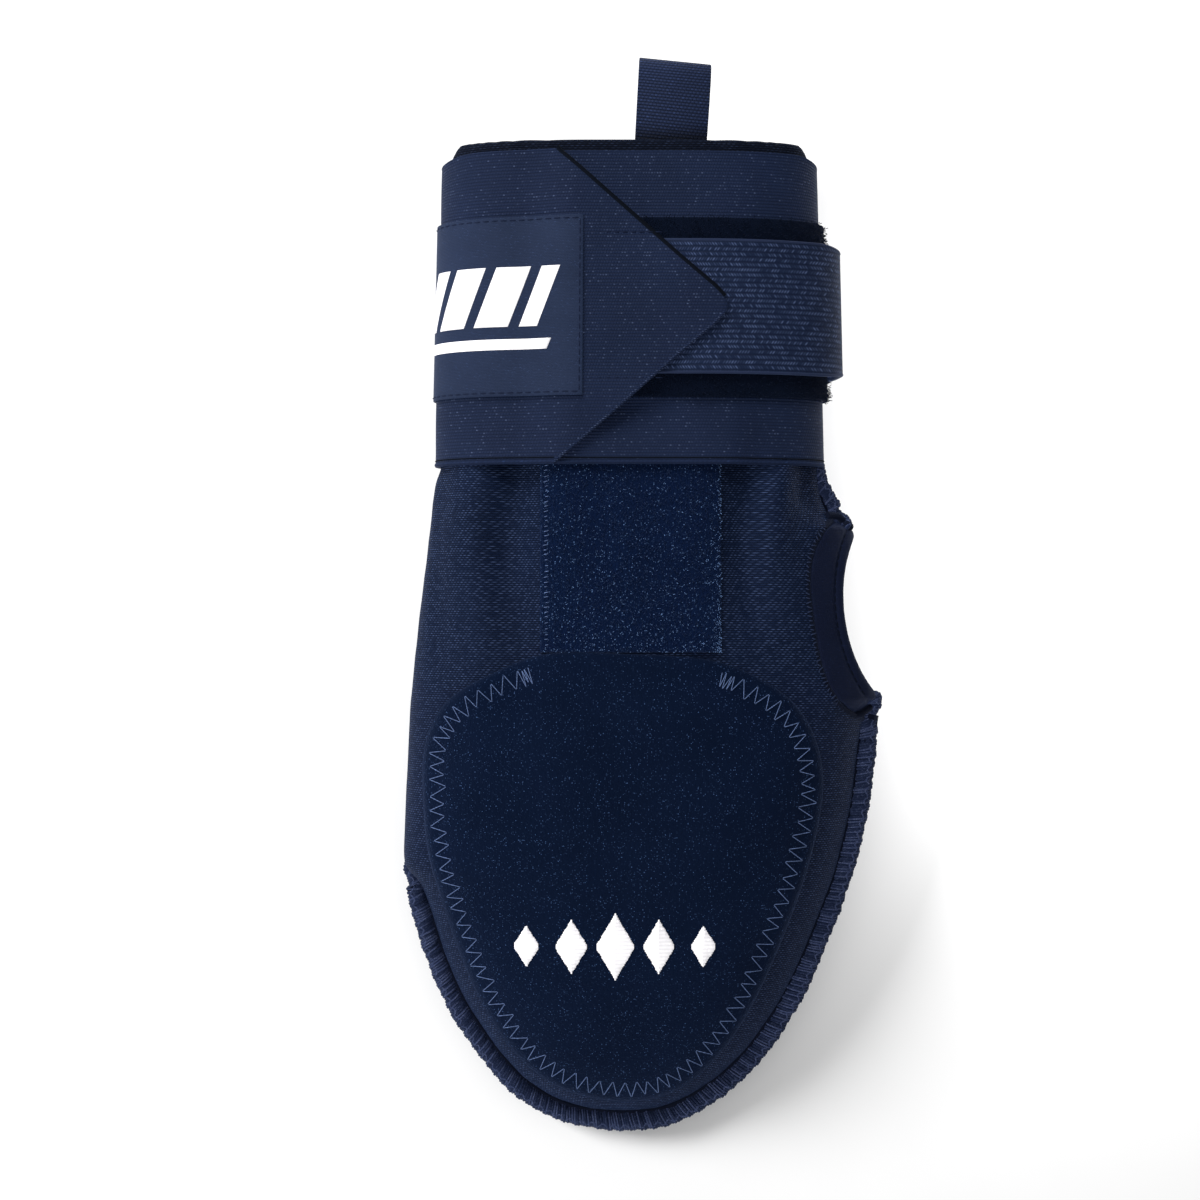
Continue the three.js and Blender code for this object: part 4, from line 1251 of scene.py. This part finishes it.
def make_thumb_stitches(sizes):
    """Small stitches over the border of the band and a row of straight ones in its hem."""
    surface = surface_of("pouch_neoprene", "thumb_band")

    def laid(oval):
        """The oval's places that lie over the cloth, dropped on it."""
        spots = [surface.drop(*place) for place in oval]
        return rounded([spot for spot in spots if spot], 2)

    depth, half = sizes.thumb_depth, sizes.thumb_half
    past_depth, past_half = THUMB_STITCHES
    border = laid(thumb_oval(depth + past_depth, half + past_half, BORDER_SQUARENESS, *BORDER_RUN))
    rows = []
    places = resampled(border, BORDER_PITCH)
    chance = random.Random(17)
    for before, place, after in zip(places, places[1:], places[2:]):
        run = (after - before).normalized()
        side = run.cross(UP).normalized()
        reach, lean = chance.uniform(0.0004, 0.0009), chance.uniform(-0.0004, 0.0004)
        first, last = place + side * reach - run * lean, place - side * reach + run * lean
        rows.append(stitch(first, last, UP, BORDER_RISE))
    threads("thumb_border_stitches", rows, BORDER_THREAD, finish(navy_thread))
    # A dark cord sunk under the border's stitches: painted shade in the groove at the band's border.
    shade_cord = [place - UP * SHADE_CORD_SUNK for place in rounded(border, 6)]
    threads("thumb_border_painted_shade", [shade_cord], SHADE_CORD_RADIUS, finish(seam_groove_painted_shade), sides=2)
    hem = laid(thumb_oval(depth * HEM_GROOVE[0], half * HEM_GROOVE[0], 2, *HEM_RUN))
    rows = row_of_stitches(hem, HEM_PITCH, HEM_RISE)
    # The hem's stitches are thread coloured near black with the painted shade of the hem's groove.
    threads("thumb_rim_stitches", rows, HEM_THREAD, finish(painted_shade_black))


def plan_centre(node):
    """The middle of a node's box in plan."""
    low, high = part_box(node)
    return Vector(((low.x + high.x) / 2, (low.y + high.y) / 2))


# The pad's edge height, how much the zigzag draws it in and over what width, its crown and its softness
PAD_EDGE = 0.0008
PAD_DIP = 0.00055
PAD_DIP_HALF = 0.0028
PAD_CROWN = 0.0008
PAD_SOFTNESS = 0.0003
PAD_SOFTNESS_SCALE = 60


def make_knuckle_pad(sizes):
    pouch = surface_of("pouch_neoprene")
    pad = Surface(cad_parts["knuckle_pad"].data)
    centre = plan_centre("knuckle_pad")
    spokes, tops, rims, unders = 320, 44, 5, 8
    angles = [2 * math.pi * spoke / spokes for spoke in range(spokes)]
    felt = [pad.reach(centre, angle, 0.1) for angle in angles]
    beside = range(-4, 5)
    reaches = []
    for spoke in range(spokes):
        reaches.append(sum(felt[(spoke + step) % spokes] for step in beside) / len(beside))
    stitched = sizes.zigzag_inset + sizes.zigzag_width / 2

    def ring(row):
        """The share of the way out and the side of each ring of faces."""
        if row <= tops:
            share = row / tops
            return 1 - (1 - share) ** 1.6 * 0.999, 1.0
        if row <= tops + rims:
            return 1.0, 1 - (row - tops) / rims
        return max(0.001, 1 - (row - tops - rims) / unders), 0.0

    rows = tops + rims + unders
    shape = bmesh.new()
    bmesh.ops.create_grid(shape, x_segments=spokes, y_segments=rows, size=0.5)
    for vert in shape.verts:
        turn = vert.co.x + 0.5
        row = round((vert.co.y + 0.5) * rows)
        share, top = ring(row)
        angle = 2 * math.pi * turn
        reach = reaches[round(turn * spokes) % spokes]
        x = centre.x + reach * share * math.cos(angle)
        y = centre.y + reach * share * math.sin(angle)
        inset = reach * (1 - share)
        point = pouch.drop(x, y) or Vector((x, y, 0.0))
        roll = math.sqrt(max(0.0, 1 - (1 - min(inset / sizes.pad_roll, 1)) ** 2))
        dip = PAD_DIP * bell(inset - stitched, PAD_DIP_HALF)
        lumps = noise.noise(Vector((x * PAD_SOFTNESS_SCALE, y * PAD_SOFTNESS_SCALE, 2.0)))
        soft = PAD_SOFTNESS * lumps * roll
        body = PAD_EDGE + (sizes.pad_thickness - PAD_EDGE) * roll
        height = body - dip + PAD_CROWN * (1 - share * share) + soft
        vert.co = point + UP * (DRAPED_GAP + height * top)
    bmesh.ops.remove_doubles(shape, verts=shape.verts, dist=0.00005)
    smooth(shape, [vert for vert in shape.verts if not vert.is_boundary], 3, flat=True)
    bmesh.ops.recalc_face_normals(shape, faces=shape.faces)
    mesh = as_mesh("knuckle_shield", shape)
    piece = show("knuckle_shield", mesh, finish(brushed_cloth), ["knuckle_pad"])
    outline = []
    for angle, reach in zip(angles, reaches):
        outline.append(centre + Vector((math.cos(angle), math.sin(angle))) * reach)
    make_zigzag(sizes, outline)


# Where the zigzag starts and ends, in degrees about the pad's middle, leaving the top edge free. It has a
# bartack at both ends, and each of its corners strays a little.
ZIGZAG_START = 113
ZIGZAG_END = 428
BARTACK = 7
BARTACK_PITCH = 0.0007
ZIGZAG_STRAY = 0.0005
ZIGZAG_RISE = 0.00022


def zigzag_steps(total, half_pitch):
    """The places of the zigzag's corners along its row: a bartack, the zigzag and a second bartack."""
    steps = [index * BARTACK_PITCH for index in range(BARTACK)]
    body = steps[-1]
    body_end = total - body - half_pitch
    while body < body_end:
        body += half_pitch
        steps.append(body)
    return steps + [total - index * BARTACK_PITCH for index in range(BARTACK, 0, -1)]


def make_zigzag(sizes, outline):
    surface = surface_of("knuckle_shield")
    count = len(outline)
    first, last = (round(angle / 360 * count) for angle in (ZIGZAG_START, ZIGZAG_END))
    chance = random.Random(5)
    path = [outline[index % count].to_3d() for index in range(first, last)]
    half_pitch = sizes.zigzag_pitch / 2
    spacing = half_pitch / 4
    places = resampled(path, spacing)
    corners = []
    for number, distance in enumerate(zigzag_steps((len(places) - 1) * spacing, half_pitch)):
        index = min(max(round(distance / spacing), 1), len(places) - 2)
        run = (places[index + 1] - places[index - 1]).normalized()
        inward = Vector((-run.y, run.x, 0))
        inset = sizes.zigzag_inset + (sizes.zigzag_width if number % 2 else 0.0)
        inset += chance.uniform(-ZIGZAG_STRAY, ZIGZAG_STRAY)
        spot = places[index] + inward * inset + run * chance.uniform(-ZIGZAG_STRAY, ZIGZAG_STRAY)
        corners.append(surface.drop(spot.x, spot.y))
    paths = []
    for start, end in zip(corners, corners[1:]):
        middle = surface.drop(*start.lerp(end, 0.5).xy)
        rise = ZIGZAG_RISE + max(0.0, middle.z - (start.z + end.z) / 2)
        paths.append(stitch(start, end, UP, rise))
    threads("knuckle_zigzag", paths, sizes.thread_radius, finish(light_thread))


# The satin stitches of the motif: from one to the next, their thread, how far they reach past the lozenge,
# how uneven their ends are, how far the padding lifts them, and how far their ends sink into the pad
SATIN_PITCH = 0.00034
SATIN_RADIUS = 0.00028
SATIN_MARGIN = 0.0002
SATIN_UNEVENNESS = 0.0004
SATIN_PUFF = 0.0008
SATIN_SUNK = 0.0002
SATIN_SHARES = (-1, -0.92, -0.7, -0.35, 0, 0.35, 0.7, 0.92, 1)


def make_motif(sizes):
    """Five lozenges of satin stitches, laid on the dressed pad where the plain lozenges stand."""
    pad = surface_of("knuckle_shield")
    nodes = [f"motif_lozenge_{number}" for number in range(1, 6)]
    paths = []
    for number, node in enumerate(nodes):
        low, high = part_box(node)
        centre = (low + high) / 2
        half_width = (high.x - low.x) / 2 + SATIN_MARGIN
        half_height = (high.y - low.y) / 2 + SATIN_MARGIN
        chance = random.Random(number)
        strokes = round(2 * half_width / SATIN_PITCH)
        for stroke in range(1, strokes):
            across = 2 * stroke / strokes - 1
            x = centre.x + half_width * across
            reach = half_height * (1 - abs(across)) + chance.uniform(0, SATIN_UNEVENNESS)
            path = []
            for share in SATIN_SHARES:
                y = centre.y + share * reach
                puff = SATIN_PUFF * math.sqrt(1 - abs(across)) * math.sqrt(max(0.0, 1 - share * share))
                path.append(Vector((x, y, pad.drop(x, y).z + puff - SATIN_SUNK * share**4)))
            paths.append(path)
    satin = threads("motif_satin", paths, SATIN_RADIUS, finish(satin_thread), sides=2)
    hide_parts(*nodes)


# The front strip runs on this far under the pad
STRIP_UNDER_PAD = 0.0012

# The fibres of the front strip: how many, how long and how thick, the share of them that crowds at the
# right edge, and how much they crowd at the lower end
FRONT_PILE = (
    ("front_strip_pile", pile_fibre, 4600, 0.0009, 0.00008, 0.0, 1.0),
    ("front_strip_glints", painted_glint_fibre, 1000, 0.0006, 0.00006, 0.22, 1.6),
)
PILE_ROOT = 0.0002
PILE_EDGE_SPREAD = 0.0011

# The slanted stitches down the front strip's left side
STRIP_STITCH_INSET = 0.0018
STRIP_STITCH_SLANT = 0.2
STRIP_STITCH_RISE = 0.00028
STRIP_STITCH_RADIUS = 0.00012


def make_loop_strip(sizes):
    pouch = surface_of("pouch_neoprene")
    low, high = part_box("loop_strip")
    start = low.y - STRIP_UNDER_PAD
    thickness = sizes.tape_thickness - PILE_DEPTH
    shape = bmesh.new()
    bmesh.ops.create_grid(shape, x_segments=46, y_segments=54, size=0.5)
    for vert in shape.verts:
        x = lerp(low.x, high.x, vert.co.x + 0.5)
        y = lerp(start, high.y, vert.co.y + 0.5)
        vert.co = pouch.drop(x, y) + UP * (DRAPED_GAP + thickness)
    smooth(shape, shape.verts, 4, flat=True)
    map_onto(shape, lambda vert: vert.co.xy)
    wall = {"thickness": thickness, "offset": -1.0}
    mesh = with_modifiers("front_loop_strip", as_mesh("front_loop_strip", shape), [("SOLIDIFY", wall)])
    strip = show("front_loop_strip", mesh, finish(loop_pile_cloth), ["loop_strip"])
    surface = surface_of("front_loop_strip")
    chance = random.Random(23)
    make_front_pile(surface, low.x, high.x, start, high.y - sizes.strip_tuck + 0.002, chance)
    rows = []
    y = start + 0.002
    while y < high.y - sizes.strip_tuck:
        x = low.x + STRIP_STITCH_INSET + chance.uniform(-0.0002, 0.0002)
        reach = chance.uniform(0.0003, 0.0008)
        ends = [surface.drop(x + shift, y + shift * STRIP_STITCH_SLANT) for shift in (-reach, reach)]
        rows.append(stitch(*ends, UP, STRIP_STITCH_RISE))
        y += chance.uniform(0.0011, 0.0018)
    threads("front_strip_stitches", rows, STRIP_STITCH_RADIUS, finish(light_thread))


def make_front_pile(surface, left, right, start, end, chance):
    """The pile of the front strip, and its bright fibres, which are painted glints."""
    for name, make, count, length, radius, at_edge, crowding in FRONT_PILE:
        paths = []
        while len(paths) < count:
            x = chance.uniform(left, right)
            if at_edge and chance.random() < at_edge:
                x = right - abs(chance.gauss(0, PILE_EDGE_SPREAD))
            root = surface.drop(x, lerp(start, end, chance.random() ** crowding))
            if root:
                paths.append(fibre(root - UP * PILE_ROOT, UP, length, chance))
        threads(name, paths, radius, finish(make), sides=0)


# Seams


def seam_path(node, centre, first, last, near, far):
    """The middle line of a seam's ridge, felt from above between two angles in degrees."""
    surface = Surface(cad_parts[node].data)
    count = 300
    angles = [math.radians(lerp(first, last, index / count)) for index in range(count + 1)]
    found = [surface.ridge(centre, angle, near, far) for angle in angles]
    return rounded([point for point in found if point], 6)


# The loops of a seam run from its inner foot over its top and round its outer side, in degrees, and slant by
# a few pitches. They bunch up at even lengths, and the chain on them steps from side to side.
LOOP_ENDS = (215, -75)
LOOP_STEPS = 9
LOOP_SLANT = (3.0, 5.0)
LOOP_WIDTHS = (0.97, 1.03)
LOOP_HEIGHTS = (0.95, 1.05)
BUNCH_LENGTH = 0.0033
BUNCH = 0.07
CHAIN_SIDES = (0.3, 0.62)
CHAIN_STEP = 2
CHAIN_LIFT = 0.0003

# The loops' size beside the ridge, its lumps as their height and scale, and its size at the seam's ends
LOOP_SIZE = 1.12
LUMPS = ((0.12, 160), (0.06, 420))
END_WIDTH = 0.65
END_HEIGHT = 0.8


def overlock(sizes, path, chance, size):
    """Loops of thread over a ridge, and the chain that runs along them."""
    places = resampled(path, sizes.overlock_pitch)
    count = len(places)
    paths = []
    chain = []
    for index in range(1, count - 1):
        place = places[index]
        run = places[min(index + 2, count - 1)] - places[max(index - 2, 0)]
        out = Vector((run.y, -run.x, 0)).normalized()
        phase = index * sizes.overlock_pitch / BUNCH_LENGTH * 2 * math.pi + 6 * noise.noise(place * 40)
        lump = LOOP_SIZE
        for rise, scale in LUMPS:
            lump += rise * noise.noise(place * scale)
        lump += BUNCH * math.cos(phase)
        end = smooth_step(0, 4, min(index, count - 1 - index))
        width = size * sizes.seam_width / 2 * lump * lerp(END_WIDTH, 1.0, end) * chance.uniform(*LOOP_WIDTHS)
        height = size * sizes.seam_height / 2 * lump * lerp(END_HEIGHT, 1.0, end)
        height *= chance.uniform(*LOOP_HEIGHTS)
        middle = place - UP * (sizes.seam_height / 2)
        slant = sizes.overlock_pitch * chance.uniform(*LOOP_SLANT)
        path = []
        for step in range(LOOP_STEPS + 1):
            share = step / LOOP_STEPS
            angle = math.radians(lerp(*LOOP_ENDS, share))
            point = middle + out * width * math.cos(angle) + run.normalized() * slant * (share - 0.5)
            point.z = max(point.z + height * math.sin(angle), sizes.overlock_radius)
            path.append(point)
        paths.append(path)
        side = CHAIN_SIDES[index // CHAIN_STEP % 2]
        rise = height * math.sqrt(1 - side * side) + CHAIN_LIFT
        chain.append(middle + out * width * side + UP * rise)
    return paths, chain


# The seams' ends. The toe seam starts on the left side, and on the right both run up over the thumb band.
TOE_SEAM_START = ((-0.0679, -0.0740, 0.0140), (-0.0679, -0.0785, 0.0135))
TOE_SEAM_END = ((0.0684, -0.0298, 0.0175), (0.0684, -0.0280, 0.0205), (0.0674, -0.0260, 0.0240))
WRIST_SEAM_END = ((0.0606, 0.0228, 0.0270), (0.0596, 0.0244, 0.0240), (0.0582, 0.0264, 0.0214))

# Dark cords in the corner between each end of the thumb band and the seam, in the painted shade of the
# seams' grooves
BAND_CORNERS = (
    ((0.0590, -0.0326, 0.0265), (0.0640, -0.0316, 0.0240), (0.0672, -0.0298, 0.0200)),
    ((0.0540, 0.0262, 0.0270), (0.0575, 0.0260, 0.0240), (0.0598, 0.0243, 0.0225)),
)


def seam_groove_line(path):
    """The line inboard of a seam and below its top, along its groove, for a dark cord of painted shade."""
    inboard, below = 0.0028, 0.0018
    result = []
    for before, place, after in zip(path, path[1:], path[2:]):
        run = (after - before).normalized()
        inward = Vector((-run.y, run.x, 0)).normalized()
        result.append(place + inward * inboard - UP * below)
    return rounded(result, 2)


# The wrist seam is smaller than the toe seam, and beside the strap it bends in between two places along it
WRIST_SEAM_SIZE = 0.72
WRIST_SEAM_BEND = 0.0022
WRIST_SEAM_BEND_FROM = 0.027
WRIST_SEAM_BEND_TO = 0.039
WRIST_CORE_RADIUS = 0.0015
WRIST_CORE_DEPTH = 0.0024

# The chance that a loop has a paler thread over it, a painted highlight, and how many of its places that
# thread covers
HIGHLIGHT_CHANCE = 0.45
HIGHLIGHT_PLACES = 7
HIGHLIGHT_LIFT = 0.0003
HIGHLIGHT_SHARE = 0.6
CHAIN_RADIUS = 0.00026


# Where each seam is felt for: its angles about a middle and the distances from it
TOE_SEARCH = (176, 400, 0.050, 0.095)
WRIST_SEARCH = (-16, 14, 0.024, 0.048)
WRIST_SEARCH_MIDDLE = 0.020


def toe_seam_line():
    found = seam_path("toe_seam", plan_centre("knuckle_pad"), *TOE_SEARCH)
    return rounded([*vectors(TOE_SEAM_START), *found, *vectors(TOE_SEAM_END)], 1)


def wrist_seam_line():
    middle = Vector((WRIST_SEARCH_MIDDLE, plan_centre("wrist_seam").y))
    found = seam_path("wrist_seam", middle, *WRIST_SEARCH)
    found.sort(key=lambda point: point.y)
    for point in found:
        point.x -= WRIST_SEAM_BEND * smooth_step(WRIST_SEAM_BEND_FROM, WRIST_SEAM_BEND_TO, point.y)
    return rounded([*vectors(WRIST_SEAM_END), *found], 1)


def vectors(places):
    return [Vector(place) for place in places]


def make_seams(sizes):
    chance = random.Random(3)
    toe, wrist = toe_seam_line(), wrist_seam_line()
    loops, chains = [], []
    for seam, size in ((toe, 1.0), (wrist, WRIST_SEAM_SIZE)):
        paths, chain = overlock(sizes, seam, chance, size)
        loops += paths
        chains.append(chain)
    wound, highlight_thread, core = finish(wound_thread), finish(wound_thread_painted_highlight), finish(seam_core_painted_shade)
    radius = sizes.overlock_radius
    piece = threads("overlock_loops", loops, radius, wound)
    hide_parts("wrist_seam")
    # Paler copies over some loops, lifted a little: painted highlights.
    over = [path[:HIGHLIGHT_PLACES] for path in loops if chance.random() < HIGHLIGHT_CHANCE]
    over = [[point + UP * HIGHLIGHT_LIFT for point in path] for path in over]
    threads("overlock_painted_highlights", over, radius * HIGHLIGHT_SHARE, highlight_thread)
    # The chains are thread in the same painted highlight.
    threads("overlock_chains", chains, CHAIN_RADIUS, highlight_thread)
    # Dark cords in the grooves inboard of the seams and at the thumb band's ends: painted shade.
    shade_cords = [seam_groove_line(toe), seam_groove_line(wrist), *(vectors(corner) for corner in BAND_CORNERS)]
    threads("seam_groove_shade_cords", shade_cords, SHADE_CORD_RADIUS, finish(seam_groove_painted_shade), sides=3)
    # The wrist seam's core lies low under its loops, in the same painted shade.
    low_wrist = [point - UP * WRIST_CORE_DEPTH for point in wrist]
    threads("wrist_seam_core", [low_wrist], WRIST_CORE_RADIUS, core, sides=3)
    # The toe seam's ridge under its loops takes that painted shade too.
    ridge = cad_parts["toe_seam"].data.materials
    ridge.clear()
    ridge.append(core)


# The loop's top leans by this share of its width, over all but its lowest part
PULL_LEAN = 0.1
PULL_UPRIGHT = 0.010
PULL_EDGE = 0.00035


def make_pull_loop(sizes):
    shape = merged_copy("pull_loop")
    bmesh.ops.join_triangles(shape, faces=shape.faces, angle_face_threshold=0.5, angle_shape_threshold=0.8)
    low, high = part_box("pull_loop")
    middle = (low.x + high.x) / 2
    for vert in shape.verts:
        lean = smooth_step(low.y + PULL_UPRIGHT, high.y, vert.co.y)
        vert.co.y -= (vert.co.x - middle) * PULL_LEAN * lean
    edge = rounded_edge(PULL_EDGE, 55)
    mesh = with_modifiers("pull_webbing", as_mesh("pull_webbing", shape), [("BEVEL", edge)])
    show("pull_webbing", mesh, finish(grosgrain), ["pull_loop"])


# The stage

FLOOR_HALF = 3.0
WORLD_LIGHT = 0.45

# A camera over the mitt that looks straight down: its place in metres, its sensor and lens in millimetres
CAMERA_PLACE = (-0.0118, 0.00165, 0.700)
CAMERA_SENSOR = 36.0
CAMERA_LENS = 69.66

# The lights: place, size and power in metres and watts, what they light and whether they cast a shadow.
# The mitt and the paper have lights of their own, as in a studio where the paper is lit apart.
STUDIO_LIGHTS = (
    ("key_light", (-0.35, 0.98, 0.72), 0.7, 14.8, "mitt", True),
    ("left_light", (-1.10, -0.10, 0.55), 0.9, 12.0, "mitt", False),
    ("toe_light", (-0.20, -1.10, 0.60), 0.9, 9.5, "mitt", False),
    ("paper_light", (-1.25, 0.44, 0.78), 0.6, 32.0, "floor", True),
    ("strap_paper_light", (0.16, 0.10, 0.13), 0.05, 0.34, "floor", False),
    ("thumb_paper_light", (0.13, -0.03, 0.08), 0.05, 0.07, "floor", False),
)


def white_paper():
    """Pale matt paper with a faint grain."""
    paper = bpy.data.materials.new("white_paper")
    paper.use_nodes = True
    graph = Graph(paper.node_tree)
    shader = paper.node_tree.nodes["Principled BSDF"].inputs
    vector = graph.add("ShaderNodeTexCoord").outputs["Object"]
    grain = graph.add("ShaderNodeTexNoise", {"Vector": vector, "Scale": 30.0}).outputs[0]
    graph.link(graph.mix(grain, (0.90, 0.90, 0.90, 1), (0.93, 0.93, 0.93, 1)), shader["Base Color"])
    shader["Roughness"].default_value = 0.9
    return paper


def make_floor():
    shape = bmesh.new()
    bmesh.ops.create_grid(shape, x_segments=1, y_segments=1, size=FLOOR_HALF)
    mesh = as_mesh("floor", shape)
    mesh.materials.append(white_paper())
    floor = bpy.data.objects.new("floor", mesh)
    bpy.context.scene.collection.objects.link(floor)
    return floor


def make_stage():
    floor = make_floor()
    lit = {name: bpy.data.collections.new(f"lit_{name}") for name in ("floor", "mitt")}
    for collection in lit.values():
        collection.objects.link(floor)
    lit["mitt"].collection_objects[0].light_linking.link_state = "EXCLUDE"
    for name, place, size, power, what, casts in STUDIO_LIGHTS:
        add_light(name, place, size, power, lit[what], casts)
    scene = bpy.context.scene
    world = bpy.data.worlds.new("soft_studio")
    world.use_nodes = True
    background = world.node_tree.nodes["Background"].inputs
    background["Color"].default_value = (1.0, 1.0, 1.0, 1.0)
    background["Strength"].default_value = WORLD_LIGHT
    scene.world = world
    scene.view_settings.view_transform = "Standard"
    lens = bpy.data.cameras.new("camera")
    lens.sensor_width = CAMERA_SENSOR
    lens.lens = CAMERA_LENS
    camera = bpy.data.objects.new("camera", lens)
    camera.location = CAMERA_PLACE
    scene.collection.objects.link(camera)
    scene.camera = camera


# A light lower than this faces down
LOW_LIGHT = 0.2


def add_light(name, place, size, power, lit, casts):
    """A soft square light that faces the mitt, or down where it hangs low."""
    light = bpy.data.lights.new(name, "AREA")
    light.size = size
    light.energy = power
    light.use_shadow = casts
    lamp = bpy.data.objects.new(name, light)
    lamp.location = place
    if place[2] > LOW_LIGHT:
        lamp.rotation_euler = (-Vector(place)).to_track_quat("-Z", "Y").to_euler()
    lamp.light_linking.receiver_collection = lit
    lamp.visible_camera = False
    bpy.context.scene.collection.objects.link(lamp)


# The operators, the panel and the run


class MITT_OT_stage(bpy.types.Operator):
    """Lay the floor and set up the lights and the camera"""

    bl_idname = "mitt.stage"
    bl_label = "Stage"

    def execute(self, context):
        make_stage()
        return {"FINISHED"}


class MITT_OT_pouch(bpy.types.Operator):
    """Make the knitted neoprene pouch"""

    bl_idname = "mitt.pouch"
    bl_label = "Pouch"

    def execute(self, context):
        make_pouch(context.scene.mitt_sizes)
        return {"FINISHED"}


class MITT_OT_thumb_band(bpy.types.Operator):
    """Make the stretch band round the thumb hole, with its stitches"""

    bl_idname = "mitt.thumb_band"
    bl_label = "Thumb band"

    def execute(self, context):
        make_thumb_binding(context.scene.mitt_sizes)
        return {"FINISHED"}


class MITT_OT_seams(bpy.types.Operator):
    """Wind the overlock stitches of the toe and wrist seams"""

    bl_idname = "mitt.seams"
    bl_label = "Seams"

    def execute(self, context):
        make_seams(context.scene.mitt_sizes)
        return {"FINISHED"}


class MITT_OT_loop_strip(bpy.types.Operator):
    """Make the pile strip on the front"""

    bl_idname = "mitt.loop_strip"
    bl_label = "Front strip"

    def execute(self, context):
        make_loop_strip(context.scene.mitt_sizes)
        return {"FINISHED"}


class MITT_OT_knuckle_pad(bpy.types.Operator):
    """Make the brushed pad over the knuckles, with its zigzag"""

    bl_idname = "mitt.knuckle_pad"
    bl_label = "Knuckle pad"

    def execute(self, context):
        make_knuckle_pad(context.scene.mitt_sizes)
        return {"FINISHED"}


class MITT_OT_motif(bpy.types.Operator):
    """Stitch the padded lozenges on the knuckle pad"""

    bl_idname = "mitt.motif"
    bl_label = "Motif"

    def execute(self, context):
        make_motif(context.scene.mitt_sizes)
        return {"FINISHED"}


class MITT_OT_wrist_strap(bpy.types.Operator):
    """Make the ribbed elastic wrist strap with its pointed tab"""

    bl_idname = "mitt.wrist_strap"
    bl_label = "Wrist strap"

    def execute(self, context):
        make_wrist_strap(context.scene.mitt_sizes)
        return {"FINISHED"}


class MITT_OT_loop_band(bpy.types.Operator):
    """Make the furry loop band on the wrist strap"""

    bl_idname = "mitt.loop_band"
    bl_label = "Loop band"

    def execute(self, context):
        make_loop_band(context.scene.mitt_sizes)
        return {"FINISHED"}


class MITT_OT_closure_strap(bpy.types.Operator):
    """Make the herringbone closure strap"""

    bl_idname = "mitt.closure_strap"
    bl_label = "Closure strap"

    def execute(self, context):
        make_closure_strap(context.scene.mitt_sizes)
        return {"FINISHED"}


class MITT_OT_label(bpy.types.Operator):
    """Make the woven patch with its plain bars"""

    bl_idname = "mitt.label"
    bl_label = "Label"

    def execute(self, context):
        make_label(context.scene.mitt_sizes)
        return {"FINISHED"}


class MITT_OT_stitching(bpy.types.Operator):
    """Sew the rows of stitches on the tab and the label"""

    bl_idname = "mitt.stitching"
    bl_label = "Strap stitching"

    def execute(self, context):
        make_strap_stitching(context.scene.mitt_sizes)
        return {"FINISHED"}


class MITT_OT_pull_loop(bpy.types.Operator):
    """Make the webbing pull loop"""

    bl_idname = "mitt.pull_loop"
    bl_label = "Pull loop"

    def execute(self, context):
        make_pull_loop(context.scene.mitt_sizes)
        return {"FINISHED"}


OPERATORS = (
    MITT_OT_stage,
    MITT_OT_pouch,
    MITT_OT_thumb_band,
    MITT_OT_seams,
    MITT_OT_loop_strip,
    MITT_OT_knuckle_pad,
    MITT_OT_motif,
    MITT_OT_wrist_strap,
    MITT_OT_loop_band,
    MITT_OT_closure_strap,
    MITT_OT_label,
    MITT_OT_stitching,
    MITT_OT_pull_loop,
)


class MITT_PT_panel(bpy.types.Panel):
    """The mitt's pieces, sizes and colours"""

    bl_label = "Sliding Mitt"
    bl_space_type = "VIEW_3D"
    bl_region_type = "UI"
    bl_category = "Mitt"

    def draw(self, context):
        for operator in OPERATORS:
            self.layout.operator(operator.bl_idname)
        for group in (context.scene.mitt_sizes, context.scene.mitt_colours):
            for name in group.__annotations__:
                self.layout.prop(group, name)


CLASSES = (MittSizes, MittColours, *OPERATORS, MITT_PT_panel)


def register():
    for cls in CLASSES:
        bpy.utils.register_class(cls)
    bpy.types.Scene.mitt_sizes = PointerProperty(type=MittSizes)
    bpy.types.Scene.mitt_colours = PointerProperty(type=MittColours)


def unregister():
    del bpy.types.Scene.mitt_colours
    del bpy.types.Scene.mitt_sizes
    for cls in reversed(CLASSES):
        bpy.utils.unregister_class(cls)


def main():
    register()
    for operator in OPERATORS:
        getattr(bpy.ops.mitt, operator.bl_idname.split(".")[1])()


if __name__ == "__main__":
    main()
